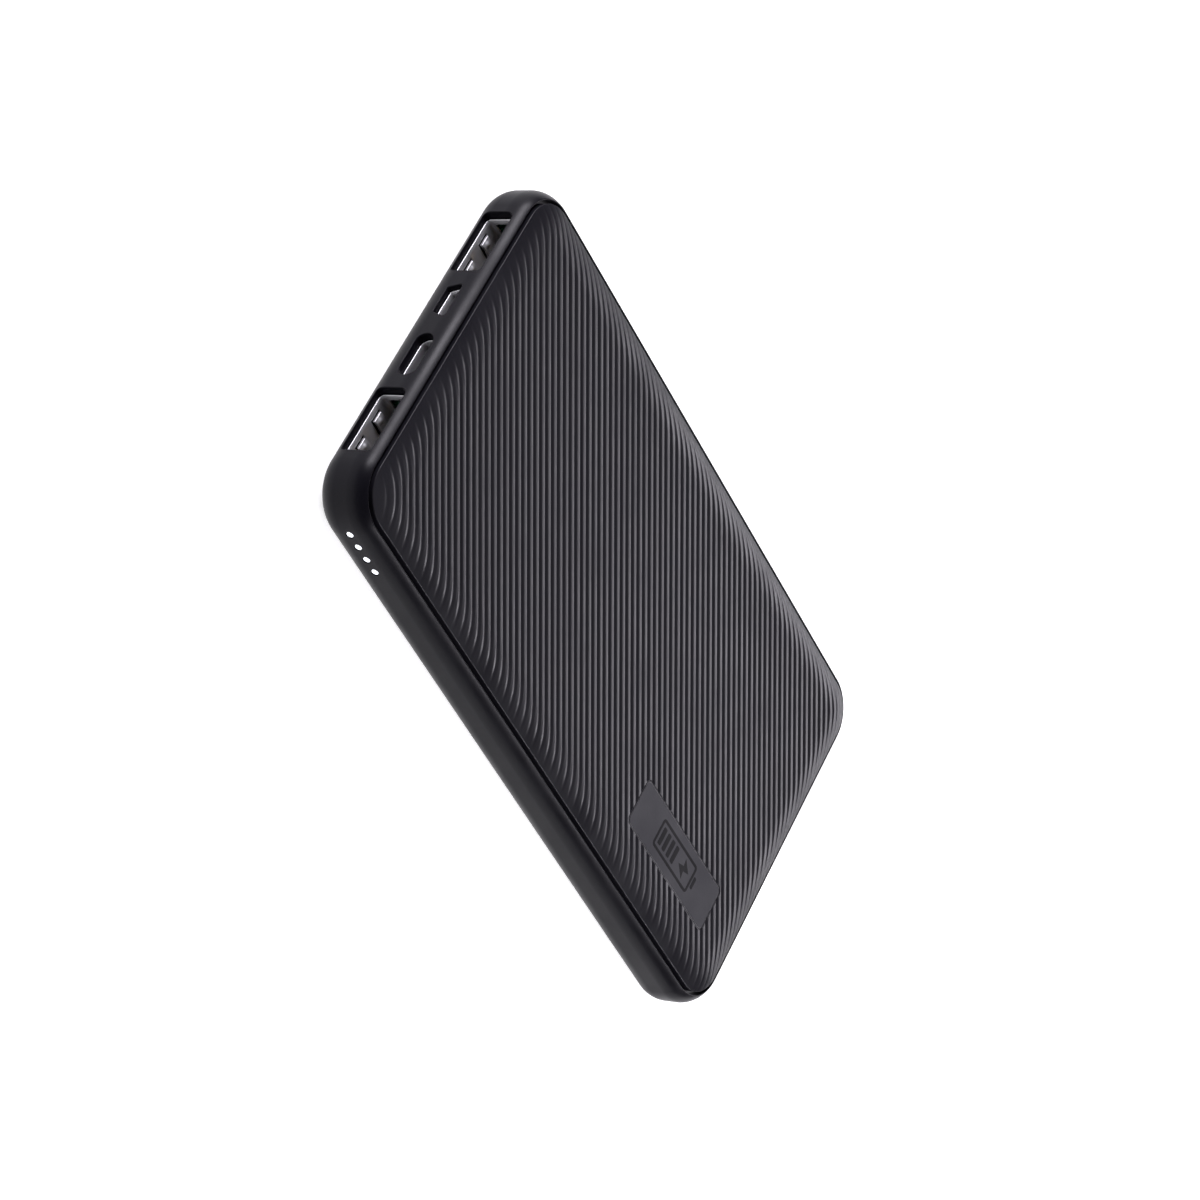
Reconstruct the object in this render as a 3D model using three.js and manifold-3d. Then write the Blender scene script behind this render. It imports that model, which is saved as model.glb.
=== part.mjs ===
// A slim power bank: two flat lithium cells, a charging board and four charging ports
// inside a rounded middle frame that is closed by a front and a rear cover.
//
// Millimetres, +Z up. The power bank lies on its rear cover: the origin is the middle of its
// underside, the front cover looks up (+Z), the ports look along -Y, the charge lights look
// along +X and the power button looks along -X. Everything is built in a group whose own
// origin is halfway up the thickness, so heights below are measured from that mid-plane.

import * as THREE from 'three';
import { mergeVertices } from 'three/addons/utils/BufferGeometryUtils.js';
import Module from 'manifold-3d';

const wasm = await Module();
wasm.setup();

// ---------------------------------------------------------------- driving dimensions

const LENGTH = 140;
const WIDTH = 75;
const HALF_THICKNESS = 6.37;
const CORNER_RADIUS = 9;
const CORNER_STEPS = 6;
const CLEARANCE = 0.3;

// Middle frame: a flat middle strip, rounded towards a lip on each side.
const FLAT_HALF = 1.27;
const SIDE_ROUND = 4.75;
const LIP_HEIGHT = 4.79;
const LEDGE_HEIGHT = 3.6;
const WALL = 2.6;

// Covers: flat in the middle, falling along an arc towards the frame's lip.
const CROWN_RADIUS = 18;
const CROWN_MARGIN = CORNER_RADIUS - 0.2;
const COVER_THICKNESS = 1.2;
const COVER_RIM_WIDTH = 1.13;
const COVER_CHAMFER = 0.2;
const CLIP = { width: 6, depth: 0.8, reach: 2.7 };
const SIDE_CLIP_SPOTS = [-30, 10, 50];
const END_CLIP_SPOTS = [-15, 15];

// Circuit board, whose front edge follows the frame's rounded corners.
const BOARD_TOP = -1.15;
const BOARD_THICKNESS = 1;
const BOARD_INSET = 4;
const BOARD_REAR = -49;
const BOARD_BASE = BOARD_TOP + CLEARANCE;

// Ports: how far each mouth sits behind the end face, and where it is along the width.
const END_FACE = -LENGTH / 2;
const USB_A = { x: 20.2, z: 0, mouth: END_FACE + 1.5, width: 13.1, height: 5.7, length: 14, wall: 0.3 };
const USB_C = { x: 5.75, z: 0.75, mouth: END_FACE + 1.5, width: 8.94, height: 3.2, length: 7.3, wall: 0.3 };
const MICRO = { x: -6.6, z: 0.4, mouth: END_FACE + 1, width: 7, height: 2.3, length: 5.6, wall: 0.25 };
const MICRO_TAPER = 0.9;

// How much larger than its shell each port's cut-out in the frame is.
const USB_A_CUTOUT = { width: 13.7, height: 6.1, corner: 1 };
const USB_C_CUTOUT_GAP = 0.3;
const MICRO_CUTOUT = { width: 7.4, height: 2.8, corner: 0.5 };

// Charge lights on the +X side and the power button on the -X side.
const LIGHTS = { count: 4, first: -61, pitch: 3, radius: 0.6, holeRadius: 0.75 };
const BUTTON = { y: -55, length: 9, height: 3.2, face: 0.05 };
const BUTTON_OPENING = { length: 9.5, height: 3.6 };
const BUTTON_DISH = { length: 13, height: 5.2, depth: 0.35 };

// Battery: two flat pouch cells, one above and one below the mid-plane.
const CELL = { width: 64, length: 103, thickness: 4.2, front: -39, gap: 0.45 };
const TERRACE = { length: 5, thickness: 0.4 };

// ---------------------------------------------------------------- materials

const frameFinish = finish(0x1d1d20, 0.42, 0);
const coverFinish = finish(0x2b2b2e, 0.5, 0);
const blackPlastic = finish(0x101012, 0.6, 0);
const steel = finish(0xb9bcc0, 0.3, 1);
const copper = finish(0xc9a24a, 0.3, 1);
const boardGreen = finish(0x14402a, 0.5, 0);
const cellFoil = finish(0xa9adb3, 0.35, 0.9);
const clearPlastic = finish(0xf2f6ff, 0.2, 0);
const ceramic = finish(0xb08a5e, 0.6, 0);
const yellowTape = finish(0xd8a93a, 0.4, 0);
const greyFoam = finish(0x55555a, 0.95, 0);
const redInsulation = finish(0xa81e1e, 0.5, 0);
const blackInsulation = finish(0x141416, 0.5, 0);

function finish(color, roughness, metalness) {
  return new THREE.MeshStandardMaterial({ color, roughness, metalness });
}

// ---------------------------------------------------------------- scene helpers

const powerBank = new THREE.Group();
const midPlane = new THREE.Group();
midPlane.position.z = HALF_THICKNESS;
powerBank.add(midPlane);

function place(name, geometry, material, x = 0, y = 0, z = 0) {
  const mesh = new THREE.Mesh(geometry, material);
  mesh.name = name;
  mesh.position.set(x, y, z);
  midPlane.add(mesh);
}

// ---------------------------------------------------------------- joining and cutting

function toSolid(geometry) {
  const bare = geometry.clone();
  bare.deleteAttribute('normal');
  bare.deleteAttribute('uv');
  const welded = mergeVertices(bare, 1e-5);
  const vertProperties = new Float32Array(welded.attributes.position.array);
  const triVerts = new Uint32Array(welded.index.array);
  return new wasm.Manifold(new wasm.Mesh({ numProp: 3, vertProperties, triVerts }));
}

function fromSolid(solid) {
  const { vertProperties, triVerts } = solid.getMesh();
  const geometry = new THREE.BufferGeometry();
  geometry.setAttribute('position', new THREE.BufferAttribute(vertProperties, 3));
  geometry.setIndex(new THREE.BufferAttribute(triVerts, 1));
  geometry.computeVertexNormals();
  return geometry;
}

function cut(base, tools) {
  let result = toSolid(base);
  for (const tool of tools) {
    result = result.subtract(toSolid(tool));
  }
  return fromSolid(result);
}

function join(base, additions) {
  let result = toSolid(base);
  for (const addition of additions) {
    result = result.add(toSolid(addition));
  }
  return fromSolid(result);
}

function keepCommon(base, other) {
  return fromSolid(toSolid(base).intersect(toSolid(other)));
}

// ---------------------------------------------------------------- shape helpers

function box(x0, x1, y0, y1, z0, z1) {
  const geometry = new THREE.BoxGeometry(x1 - x0, y1 - y0, z1 - z0);
  return geometry.translate((x0 + x1) / 2, (y0 + y1) / 2, (z0 + z1) / 2);
}

function roundedRect(width, height, radius, taper = 0) {
  const halfX = width / 2;
  const halfY = height / 2;
  const shape = new THREE.Shape();
  shape.moveTo(-halfX + taper + radius, -halfY);
  shape.lineTo(halfX - taper - radius, -halfY);
  shape.quadraticCurveTo(halfX - taper, -halfY, halfX - taper * (1 - radius / height), -halfY + radius);
  shape.lineTo(halfX, halfY - radius);
  shape.quadraticCurveTo(halfX, halfY, halfX - radius, halfY);
  shape.lineTo(-halfX + radius, halfY);
  shape.quadraticCurveTo(-halfX, halfY, -halfX, halfY - radius);
  shape.lineTo(-halfX + taper * (1 - radius / height), -halfY + radius);
  shape.quadraticCurveTo(-halfX + taper, -halfY, -halfX + taper + radius, -halfY);
  return shape;
}

function stadium(width, height) {
  const radius = height / 2;
  const straight = width / 2 - radius;
  const shape = new THREE.Shape();
  shape.absarc(straight, 0, radius, -Math.PI / 2, Math.PI / 2);
  shape.absarc(-straight, 0, radius, Math.PI / 2, (Math.PI * 3) / 2);
  return shape;
}

function polygon(points) {
  return new THREE.Shape(points.map(([x, y]) => new THREE.Vector2(x, y)));
}

// A prism along Y, whose shape's own x and y become X and Z.
function prismY(shape, y0, y1, curveSegments = 3) {
  const geometry = new THREE.ExtrudeGeometry(shape, { depth: y1 - y0, bevelEnabled: false, curveSegments });
  return geometry.rotateX(Math.PI / 2).translate(0, y1, 0);
}

// A prism along X, whose shape's own x and y become Y and Z.
function prismX(shape, x0, x1, curveSegments = 3) {
  const geometry = new THREE.ExtrudeGeometry(shape, { depth: x1 - x0, bevelEnabled: false, curveSegments });
  const turn = new THREE.Matrix4().makeBasis(
    new THREE.Vector3(0, 1, 0),
    new THREE.Vector3(0, 0, 1),
    new THREE.Vector3(1, 0, 0),
  );
  return geometry.applyMatrix4(turn).translate(x0, 0, 0);
}

// A prism along Z, whose shape's own x and y stay X and Y.
function prismZ(shape, z0, z1, curveSegments = 3) {
  const geometry = new THREE.ExtrudeGeometry(shape, { depth: z1 - z0, bevelEnabled: false, curveSegments });
  return geometry.translate(0, 0, z0);
}

function cylinderZ(radius, x, y, z0, z1, sides = 16) {
  const geometry = new THREE.CylinderGeometry(radius, radius, z1 - z0, sides);
  return geometry.rotateX(Math.PI / 2).translate(x, y, (z0 + z1) / 2);
}

function cylinderX(radius, y, z, x0, x1, sides = 12) {
  const geometry = new THREE.CylinderGeometry(radius, radius, x1 - x0, sides);
  return geometry.rotateZ(Math.PI / 2).translate((x0 + x1) / 2, y, z);
}

// A rounded rectangle's outline, drawn in from the side by inset, at height z.
function outline(inset, z, width = WIDTH, length = LENGTH, cornerRadius = CORNER_RADIUS) {
  const radius = Math.max(cornerRadius - inset, 0.1);
  const centreX = width / 2 - inset - radius;
  const centreY = length / 2 - inset - radius;
  const corners = [[1, 1], [-1, 1], [-1, -1], [1, -1]];
  return corners.flatMap(([signX, signY], quarter) => (
    Array.from({ length: CORNER_STEPS + 1 }, (_, step) => {
      const angle = ((quarter + step / CORNER_STEPS) * Math.PI) / 2;
      const x = signX * centreX + radius * Math.cos(angle);
      const y = signY * centreY + radius * Math.sin(angle);
      return new THREE.Vector3(x, y, z);
    })
  ));
}

// Skins a row of outlines with equal numbers of points. A ring joins the last outline to
// the first; otherwise the first and the last outline are capped.
function skin(loops, ring = false) {
  const count = loops[0].length;
  const rows = ring ? loops.length : loops.length - 1;
  const indices = [];
  for (let row = 0; row < rows; row++) {
    const next = (row + 1) % loops.length;
    for (let index = 0; index < count; index++) {
      const after = (index + 1) % count;
      const low = [row * count + index, row * count + after];
      const high = [next * count + index, next * count + after];
      indices.push(low[0], low[1], high[1], low[0], high[1], high[0]);
    }
  }
  if (!ring) {
    const last = (loops.length - 1) * count;
    for (let index = 1; index < count - 1; index++) {
      indices.push(0, index + 1, index);
      indices.push(last, last + index, last + index + 1);
    }
  }
  const geometry = new THREE.BufferGeometry().setFromPoints(loops.flat());
  geometry.setIndex(indices);
  return geometry;
}

// ---------------------------------------------------------------- middle frame

const LIP_ANGLE = Math.asin((LIP_HEIGHT - FLAT_HALF) / SIDE_ROUND);
const LIP_INSET = SIDE_ROUND * (1 - Math.cos(LIP_ANGLE));
const LIP_LAND = 0.06;
const ARC_STEPS = 5;

function frameProfile() {
  const upper = [];
  for (let step = 0; step <= ARC_STEPS; step++) {
    const angle = (LIP_ANGLE * step) / ARC_STEPS;
    upper.push([SIDE_ROUND * (1 - Math.cos(angle)), FLAT_HALF + SIDE_ROUND * Math.sin(angle)]);
  }
  upper.push([LIP_INSET + LIP_LAND, LIP_HEIGHT]);
  upper.push([LIP_INSET + LIP_LAND, LEDGE_HEIGHT]);
  upper.push([WALL, LEDGE_HEIGHT]);
  const lower = upper.map(([inset, z]) => [inset, -z]).reverse();
  return [...lower, ...upper];
}

function portCutter(shape, port) {
  return prismY(shape, END_FACE - 1, END_FACE + WALL + 1).translate(port.x, 0, port.z);
}

// A cutter into the -X side, a given depth behind its face.
function buttonCutter(opening, depth) {
  const side = -WIDTH / 2;
  return prismX(stadium(opening.length, opening.height), side - 1, side + depth, 6).translate(0, BUTTON.y, 0);
}

function lightPositions() {
  return Array.from({ length: LIGHTS.count }, (_, index) => LIGHTS.first + index * LIGHTS.pitch);
}

function makeMiddleFrame() {
  const side = WIDTH / 2;
  const usbACutout = roundedRect(USB_A_CUTOUT.width, USB_A_CUTOUT.height, USB_A_CUTOUT.corner);
  const usbCCutout = stadium(USB_C.width + USB_C_CUTOUT_GAP, USB_C.height + USB_C_CUTOUT_GAP);
  const microCutout = roundedRect(MICRO_CUTOUT.width, MICRO_CUTOUT.height, MICRO_CUTOUT.corner, MICRO_TAPER);
  const cutters = [
    portCutter(usbACutout, { x: -USB_A.x, z: USB_A.z }),
    portCutter(usbACutout, USB_A),
    portCutter(usbCCutout, USB_C),
    portCutter(microCutout, MICRO),
    buttonCutter(BUTTON_OPENING, WALL + 1),
    buttonCutter(BUTTON_DISH, BUTTON_DISH.depth),
  ];
  for (const y of lightPositions()) {
    cutters.push(cylinderX(LIGHTS.holeRadius, y, 0, side - WALL - 1, side + 1));
  }
  const ring = frameProfile().map(([inset, z]) => outline(inset, z));
  return cut(skin(ring, true), cutters);
}

place('middle_frame', makeMiddleFrame(), frameFinish);

// ---------------------------------------------------------------- covers

function crownHeight(inset) {
  const reach = Math.max(CROWN_MARGIN - inset, 0);
  return HALF_THICKNESS - CROWN_RADIUS + Math.sqrt(CROWN_RADIUS ** 2 - reach ** 2);
}

function coverProfile() {
  const edge = LIP_INSET + LIP_LAND + CLEARANCE;
  const rimInner = edge + COVER_RIM_WIDTH;
  const insets = [3, 4.2, 5.6, 7.2, CROWN_MARGIN];
  const under = insets.map((inset) => [inset, crownHeight(inset) - COVER_THICKNESS]).reverse();
  const over = insets.map((inset) => [inset, crownHeight(inset)]);
  return [
    ...under,
    [rimInner, LEDGE_HEIGHT + CLEARANCE],
    [edge, LEDGE_HEIGHT + CLEARANCE],
    [edge, crownHeight(edge) - COVER_CHAMFER],
    [edge + COVER_CHAMFER, crownHeight(edge + COVER_CHAMFER)],
    ...over,
  ];
}

// Snap clips hang from the cover's rim just inside the frame's wall.
function coverClips() {
  const top = LEDGE_HEIGHT + 1;
  const bottom = LEDGE_HEIGHT + CLEARANCE - CLIP.reach;
  const outer = WALL + CLEARANCE;
  const inner = outer + CLIP.depth;
  const clips = [];
  for (const y of SIDE_CLIP_SPOTS) {
    const [y0, y1] = [y - CLIP.width / 2, y + CLIP.width / 2];
    clips.push(box(WIDTH / 2 - inner, WIDTH / 2 - outer, y0, y1, bottom, top));
    clips.push(box(outer - WIDTH / 2, inner - WIDTH / 2, y0, y1, bottom, top));
  }
  for (const x of END_CLIP_SPOTS) {
    const [x0, x1] = [x - CLIP.width / 2, x + CLIP.width / 2];
    clips.push(box(x0, x1, LENGTH / 2 - inner, LENGTH / 2 - outer, bottom, top));
  }
  return clips;
}

const coverPlate = skin(coverProfile().map(([inset, z]) => outline(inset, z)));
const coverShell = join(coverPlate, coverClips());
place('front_cover', coverShell, coverFinish);

// Screw bosses stand on the rear cover and carry the circuit board.
const SCREW_SPOTS = [[-30.1, -64], [30.1, -64], [-20.2, -51.2], [20.2, -51.2]];
const SCREW = { shank: 0.6, head: 1.5, headHeight: 1, tip: -4.9, boardHole: 1 };
const SCREW_CROSS = { halfLength: 0.9, halfWidth: 0.2, depth: 0.5 };
const BOSS = { radius: 2, hole: 0.85, foot: -5.6, bottom: -5.15 };

function makeRearCover() {
  const turned = coverShell.clone().rotateY(Math.PI);
  const bossTop = BOARD_TOP - BOARD_THICKNESS - CLEARANCE;
  const bosses = SCREW_SPOTS.map(([x, y]) => cylinderZ(BOSS.radius, x, y, BOSS.foot, bossTop));
  const holes = SCREW_SPOTS.map(([x, y]) => cylinderZ(BOSS.hole, x, y, BOSS.bottom, bossTop + 1, 10));
  return cut(join(turned, bosses), holes);
}

place('rear_cover', makeRearCover(), coverFinish);

// ---------------------------------------------------------------- circuit board

const BUTTON_NOTCH = { halfWidth: 7, depth: 0.5 };

function makeBoard() {
  const bottom = BOARD_TOP - BOARD_THICKNESS;
  const blank = skin([outline(BOARD_INSET, bottom), outline(BOARD_INSET, BOARD_TOP)]);
  const front = keepCommon(blank, box(-WIDTH, WIDTH, -LENGTH, BOARD_REAR, bottom - 1, BOARD_TOP + 1));
  const notchHalf = USB_A.width / 2 + CLEARANCE;
  const notchEnd = USB_A.mouth + USB_A.length + CLEARANCE;
  const edge = BOARD_INSET - WIDTH / 2;
  const cutters = [-USB_A.x, USB_A.x].map((x) => (
    box(x - notchHalf, x + notchHalf, END_FACE, notchEnd, bottom - 1, BOARD_TOP + 1)
  ));
  const notch = [BUTTON.y - BUTTON_NOTCH.halfWidth, BUTTON.y + BUTTON_NOTCH.halfWidth];
  cutters.push(box(edge - 1, edge + BUTTON_NOTCH.depth, ...notch, bottom - 1, BOARD_TOP + 1));
  for (const [x, y] of SCREW_SPOTS) {
    cutters.push(cylinderZ(SCREW.boardHole, x, y, bottom - 1, BOARD_TOP + 1, 12));
  }
  return cut(front, cutters);
}

place('main_board', makeBoard(), boardGreen);

function makeScrew() {
  const head = cylinderZ(SCREW.head, 0, 0, BOARD_BASE, BOARD_BASE + SCREW.headHeight);
  const shank = cylinderZ(SCREW.shank, 0, 0, SCREW.tip, BOARD_BASE + 0.1, 10);
  const { halfLength, halfWidth, depth } = SCREW_CROSS;
  const top = BOARD_BASE + SCREW.headHeight;
  const cross = [
    box(-halfLength, halfLength, -halfWidth, halfWidth, top - depth, top + 1),
    box(-halfWidth, halfWidth, -halfLength, halfLength, top - depth, top + 1),
  ];
  return cut(join(head, [shank]), cross);
}

SCREW_SPOTS.forEach(([x, y], index) => place(`board_screw_${index + 1}`, makeScrew(), steel, x, y));

// Name, material, centre x and y, width, depth and height of each chip on the board.
const CHIPS = [
  ['charge_controller', blackPlastic, 4, -54.5, 5, 5, 0.9],
  ['power_transistor_1', blackPlastic, 9.3, -53, 3, 3, 0.8],
  ['power_transistor_2', blackPlastic, 9.3, -57, 3, 3, 0.8],
  ['capacitor_1', ceramic, -10.5, -52, 2, 1.25, 1.25],
  ['capacitor_2', ceramic, -10.5, -55, 2, 1.25, 1.25],
  ['capacitor_3', ceramic, -10.5, -58, 2, 1.25, 1.25],
  ['capacitor_4', ceramic, 4, -59.3, 2, 1.25, 1.25],
];

for (const [name, material, x, y, width, depth, height] of CHIPS) {
  const body = prismZ(roundedRect(width, depth, 0.15), BOARD_BASE, BOARD_BASE + height, 1);
  place(name, body, material, x, y);
}

const INDUCTOR = { x: -4.5, y: -54.5, side: 7, corner: 1, height: 3, dishRadius: 2.2, dishDepth: 0.2 };

function makeInductor() {
  const { side, corner, height, dishRadius, dishDepth } = INDUCTOR;
  const top = BOARD_BASE + height;
  const block = prismZ(roundedRect(side, side, corner), BOARD_BASE, top);
  return cut(block, [cylinderZ(dishRadius, 0, 0, top - dishDepth, top + 1)]);
}

place('power_inductor', makeInductor(), blackPlastic, INDUCTOR.x, INDUCTOR.y);

// ---------------------------------------------------------------- charge lights

const LED = { x: 31.9, depth: 1, width: 1.6, height: 1 };
const GUIDE_BAR = { x0: 32.7, x1: 33.7, halfHeight: 0.6, margin: 1.2 };
const GUIDE_PRONG = { radius: LIGHTS.radius * 0.99, start: 33.5, end: WIDTH / 2 - 0.1 };

lightPositions().forEach((y, index) => {
  const body = prismZ(roundedRect(LED.depth, LED.width, 0.12), BOARD_BASE, BOARD_BASE + LED.height, 1);
  place(`charge_led_${index + 1}`, body, clearPlastic, LED.x, y);
});

function makeLightGuide() {
  const spots = lightPositions();
  const first = spots[0] - GUIDE_BAR.margin;
  const last = spots[spots.length - 1] + GUIDE_BAR.margin;
  const bar = box(GUIDE_BAR.x0, GUIDE_BAR.x1, first, last, -GUIDE_BAR.halfHeight, GUIDE_BAR.halfHeight);
  const { radius, start, end } = GUIDE_PRONG;
  const prongs = spots.map((y) => cylinderX(radius, y, 0, start, end));
  return join(bar, prongs);
}

place('light_guide', makeLightGuide(), clearPlastic);

// ---------------------------------------------------------------- USB-A ports

const USB_A_SPRING = { x: 2.9, width: 2.3, gap: 0.35, front: 1, back: 7, dimple: 2.2, dimpleRadius: 0.8 };
const USB_A_CORNER = 0.9;
const USB_A_TONGUE = { width: 11.1, low: 0.35, high: 2.05, tip: 1.9, blockLength: 3.4 };
const USB_A_CONTACTS = [-3.5, -1, 1, 3.5];
const CONTACT_GROOVE = { halfWidth: 0.75, depth: 0.4, start: 0.5 };
const CONTACT_HALF_WIDTH = 0.45;

function makeUsbAShell() {
  const { width, height, length, wall } = USB_A;
  const outer = prismY(roundedRect(width, height, USB_A_CORNER), 0, length);
  const innerHeight = height - 2 * wall;
  const cavity = prismY(roundedRect(width - 2 * wall, innerHeight, USB_A_CORNER - wall), -1, length - wall);
  const { x, width: leaf, gap, front, back, dimple, dimpleRadius } = USB_A_SPRING;
  const slots = [];
  const dimples = [];
  for (const centre of [-x, x]) {
    for (const side of [-1, 1]) {
      const level = [side * (height / 2 - wall - 0.2), side * (height / 2 + 0.2)];
      const [z0, z1] = [Math.min(...level), Math.max(...level)];
      const [left, right] = [centre - leaf / 2, centre + leaf / 2];
      slots.push(box(left - gap, left, front, back, z0, z1));
      slots.push(box(right, right + gap, front, back, z0, z1));
      slots.push(box(left - gap, right + gap, front, front + gap, z0, z1));
      const bump = new THREE.SphereGeometry(dimpleRadius, 10, 6);
      bump.scale(1, 1, 0.6);
      dimples.push(bump.translate(centre, dimple, side * (innerHeight / 2 + 0.14)));
    }
  }
  const tube = cut(outer, [cavity, ...slots]);
  const innerSide = prismY(roundedRect(width - 0.1, height - 0.1, 0.8), 0.1, length - 0.1);
  const leaves = dimples.map((bump) => keepCommon(bump, innerSide));
  return join(tube, leaves);
}

function makeUsbATongue() {
  const { width, low, high, tip } = USB_A_TONGUE;
  const rear = USB_A.length - USB_A.wall - CLEARANCE;
  const blade = box(-width / 2, width / 2, tip, rear - 1, low, high);
  const blockHalf = USB_A.height / 2 - USB_A.wall - CLEARANCE;
  const blockWidth = USB_A.width / 2 - USB_A.wall - CLEARANCE;
  const blockStart = rear - USB_A_TONGUE.blockLength;
  const block = box(-blockWidth, blockWidth, blockStart, rear, -blockHalf, blockHalf);
  const { halfWidth, depth, start } = CONTACT_GROOVE;
  const grooves = USB_A_CONTACTS.map((x) => (
    box(x - halfWidth, x + halfWidth, tip + start, blockStart - 0.5, low - 1, low + depth)
  ));
  return cut(join(blade, [block]), grooves);
}

function makeUsbAContact() {
  const { low, tip } = USB_A_TONGUE;
  const start = tip + 0.8;
  const end = USB_A.length - 5;
  const profile = polygon([
    [start, low + 0.15], [start + 0.5, low - 0.12], [end, low - 0.12],
    [end, low + 0.1], [start + 0.6, low + 0.1], [start + 0.1, low + 0.3],
  ]);
  return prismX(profile, -CONTACT_HALF_WIDTH, CONTACT_HALF_WIDTH);
}

[-USB_A.x, USB_A.x].forEach((x, portIndex) => {
  const port = `usb_a_port_${portIndex + 1}`;
  place(`${port}_shell`, makeUsbAShell(), steel, x, USB_A.mouth, USB_A.z);
  place(`${port}_tongue`, makeUsbATongue(), blackPlastic, x, USB_A.mouth, USB_A.z);
  USB_A_CONTACTS.forEach((offset, index) => {
    place(`${port}_contact_${index + 1}`, makeUsbAContact(), copper, x + offset, USB_A.mouth, USB_A.z);
  });
});

// ---------------------------------------------------------------- USB-C and micro-USB ports

function makePortShell(outerShape, innerShape, port) {
  const outer = prismY(outerShape, 0, port.length, 5);
  const cavity = prismY(innerShape, -1, port.length - port.wall, 5);
  return cut(outer, [cavity]);
}

// A thin blade stands in a thicker block at the back of the port.
function makePortTongue(port, tongue) {
  const rear = port.length - port.wall - CLEARANCE;
  const blade = prismY(roundedRect(tongue.width, tongue.thickness, 0.12), tongue.tip, rear - 0.5, 1);
  const blockHeight = port.height - 2 * port.wall - 2 * CLEARANCE;
  const block = prismY(roundedRect(tongue.width + 0.4, blockHeight, 0.25), rear - 1.6, rear, 1);
  return join(blade, [block]);
}

function placePort(name, port, shell, tongue) {
  place(`${name}_shell`, shell, steel, port.x, port.mouth, port.z);
  place(`${name}_tongue`, makePortTongue(port, tongue), blackPlastic, port.x, port.mouth, port.z);
}

const usbCShell = makePortShell(
  stadium(USB_C.width, USB_C.height),
  stadium(USB_C.width - 2 * USB_C.wall, USB_C.height - 2 * USB_C.wall),
  USB_C,
);
placePort('usb_c_port', USB_C, usbCShell, { width: 6.69, thickness: 0.7, tip: 0.9 });

const microShell = makePortShell(
  roundedRect(MICRO.width, MICRO.height, 0.4, MICRO_TAPER),
  roundedRect(MICRO.width - 2 * MICRO.wall, MICRO.height - 2 * MICRO.wall, 0.25, MICRO_TAPER - 0.1),
  MICRO,
);
placePort('micro_usb_port', MICRO, microShell, { width: 3.8, thickness: 0.6, tip: 0.6 });

// ---------------------------------------------------------------- power button and its switch

const SWITCH = { front: -32.9, back: -29.4, halfWidth: 2.3, height: 1.9, pocketEnd: -31.1 };
const STEM = { tip: -33.4, end: -31.9, halfWidth: 1, halfHeight: 0.5 };
const BUTTON_FLANGE = { front: -34.6, back: -34, nub: -33.7, length: 10.8 };

function makeButton() {
  const face = BUTTON.face - WIDTH / 2;
  const { front, back, length, nub } = BUTTON_FLANGE;
  const cap = prismX(stadium(BUTTON.length, BUTTON.height), face, front + 0.1, 6);
  const flange = prismX(stadium(length, BUTTON.height), front, back, 6);
  const tip = box(back - 0.1, nub, -STEM.halfWidth, STEM.halfWidth, -STEM.halfHeight, STEM.halfHeight);
  return join(cap, [flange, tip]);
}

function makeSwitchBase() {
  const { front, back, halfWidth, height, pocketEnd } = SWITCH;
  const block = box(front, back, -halfWidth, halfWidth, BOARD_BASE, BOARD_BASE + height);
  const pocket = box(front - 1, pocketEnd, -STEM.halfWidth - 0.2, STEM.halfWidth + 0.2, -0.7, 0.75);
  return cut(block, [pocket]);
}

// A thin steel plate lies over the switch.
function makeSwitchCover() {
  const bottom = BOARD_BASE + SWITCH.height + CLEARANCE;
  const halfWidth = SWITCH.halfWidth - 0.2;
  return box(SWITCH.front + 0.3, SWITCH.back - 0.2, -halfWidth, halfWidth, bottom, bottom + 0.15);
}

function makeSwitchDome() {
  const profile = [[0, 0.24], [0.35, 0.19], [0.62, 0.06], [0.62, 0], [0.55, 0], [0.3, 0.1], [0, 0.14]];
  const points = profile.map(([radius, height]) => new THREE.Vector2(radius, height));
  const dome = new THREE.LatheGeometry(points.reverse(), 12);
  return dome.rotateZ(Math.PI / 2).translate(SWITCH.pocketEnd - 0.1, 0, 0);
}

place('power_button', makeButton(), frameFinish, 0, BUTTON.y);
place('switch_base', makeSwitchBase(), blackPlastic, 0, BUTTON.y);
place('switch_dome', makeSwitchDome(), steel, 0, BUTTON.y);
place(
  'switch_stem',
  box(STEM.tip, STEM.end, -STEM.halfWidth, STEM.halfWidth, -STEM.halfHeight, STEM.halfHeight),
  blackPlastic, 0, BUTTON.y,
);
place('switch_cover', makeSwitchCover(), steel, 0, BUTTON.y);

// ---------------------------------------------------------------- battery

const CELL_MIDDLE = CELL.front + CELL.length / 2;
const CELL_LEVEL = CELL.gap + CELL.thickness / 2;
const PROTECTION = { halfWidth: 22, front: -47.6, rear: -41.2, halfHeight: 0.4 };
const TAB = { x: 8, width: 5, thickness: 0.2, front: -46.4 };
const LEAD = { x: 14, radius: 0.7 };
const CELL_TAPE = { halfWidth: 26, halfThickness: 0.15, margin: 2 };
const END_PAD = { halfWidth: 20, halfHeight: 3.5 };

// A pouch cell: a soft-edged flat block with a thin sealed terrace towards the ports.
function makeCell() {
  const half = CELL.thickness / 2;
  const levels = [[1.2, -half], [0.3, 0.7 - half], [0, 0], [0.3, half - 0.7], [1.2, half]];
  const loops = levels.map(([inset, z]) => outline(inset, z, CELL.width, CELL.length, 3));
  const body = skin(loops).translate(0, CELL_MIDDLE, 0);
  const sealHalf = CELL.width / 2 - 4;
  const sealEnd = CELL.front - TERRACE.length;
  const seal = box(
    -sealHalf, sealHalf, sealEnd, CELL.front + 1, -TERRACE.thickness / 2, TERRACE.thickness / 2,
  );
  return join(body, [seal]);
}

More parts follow.
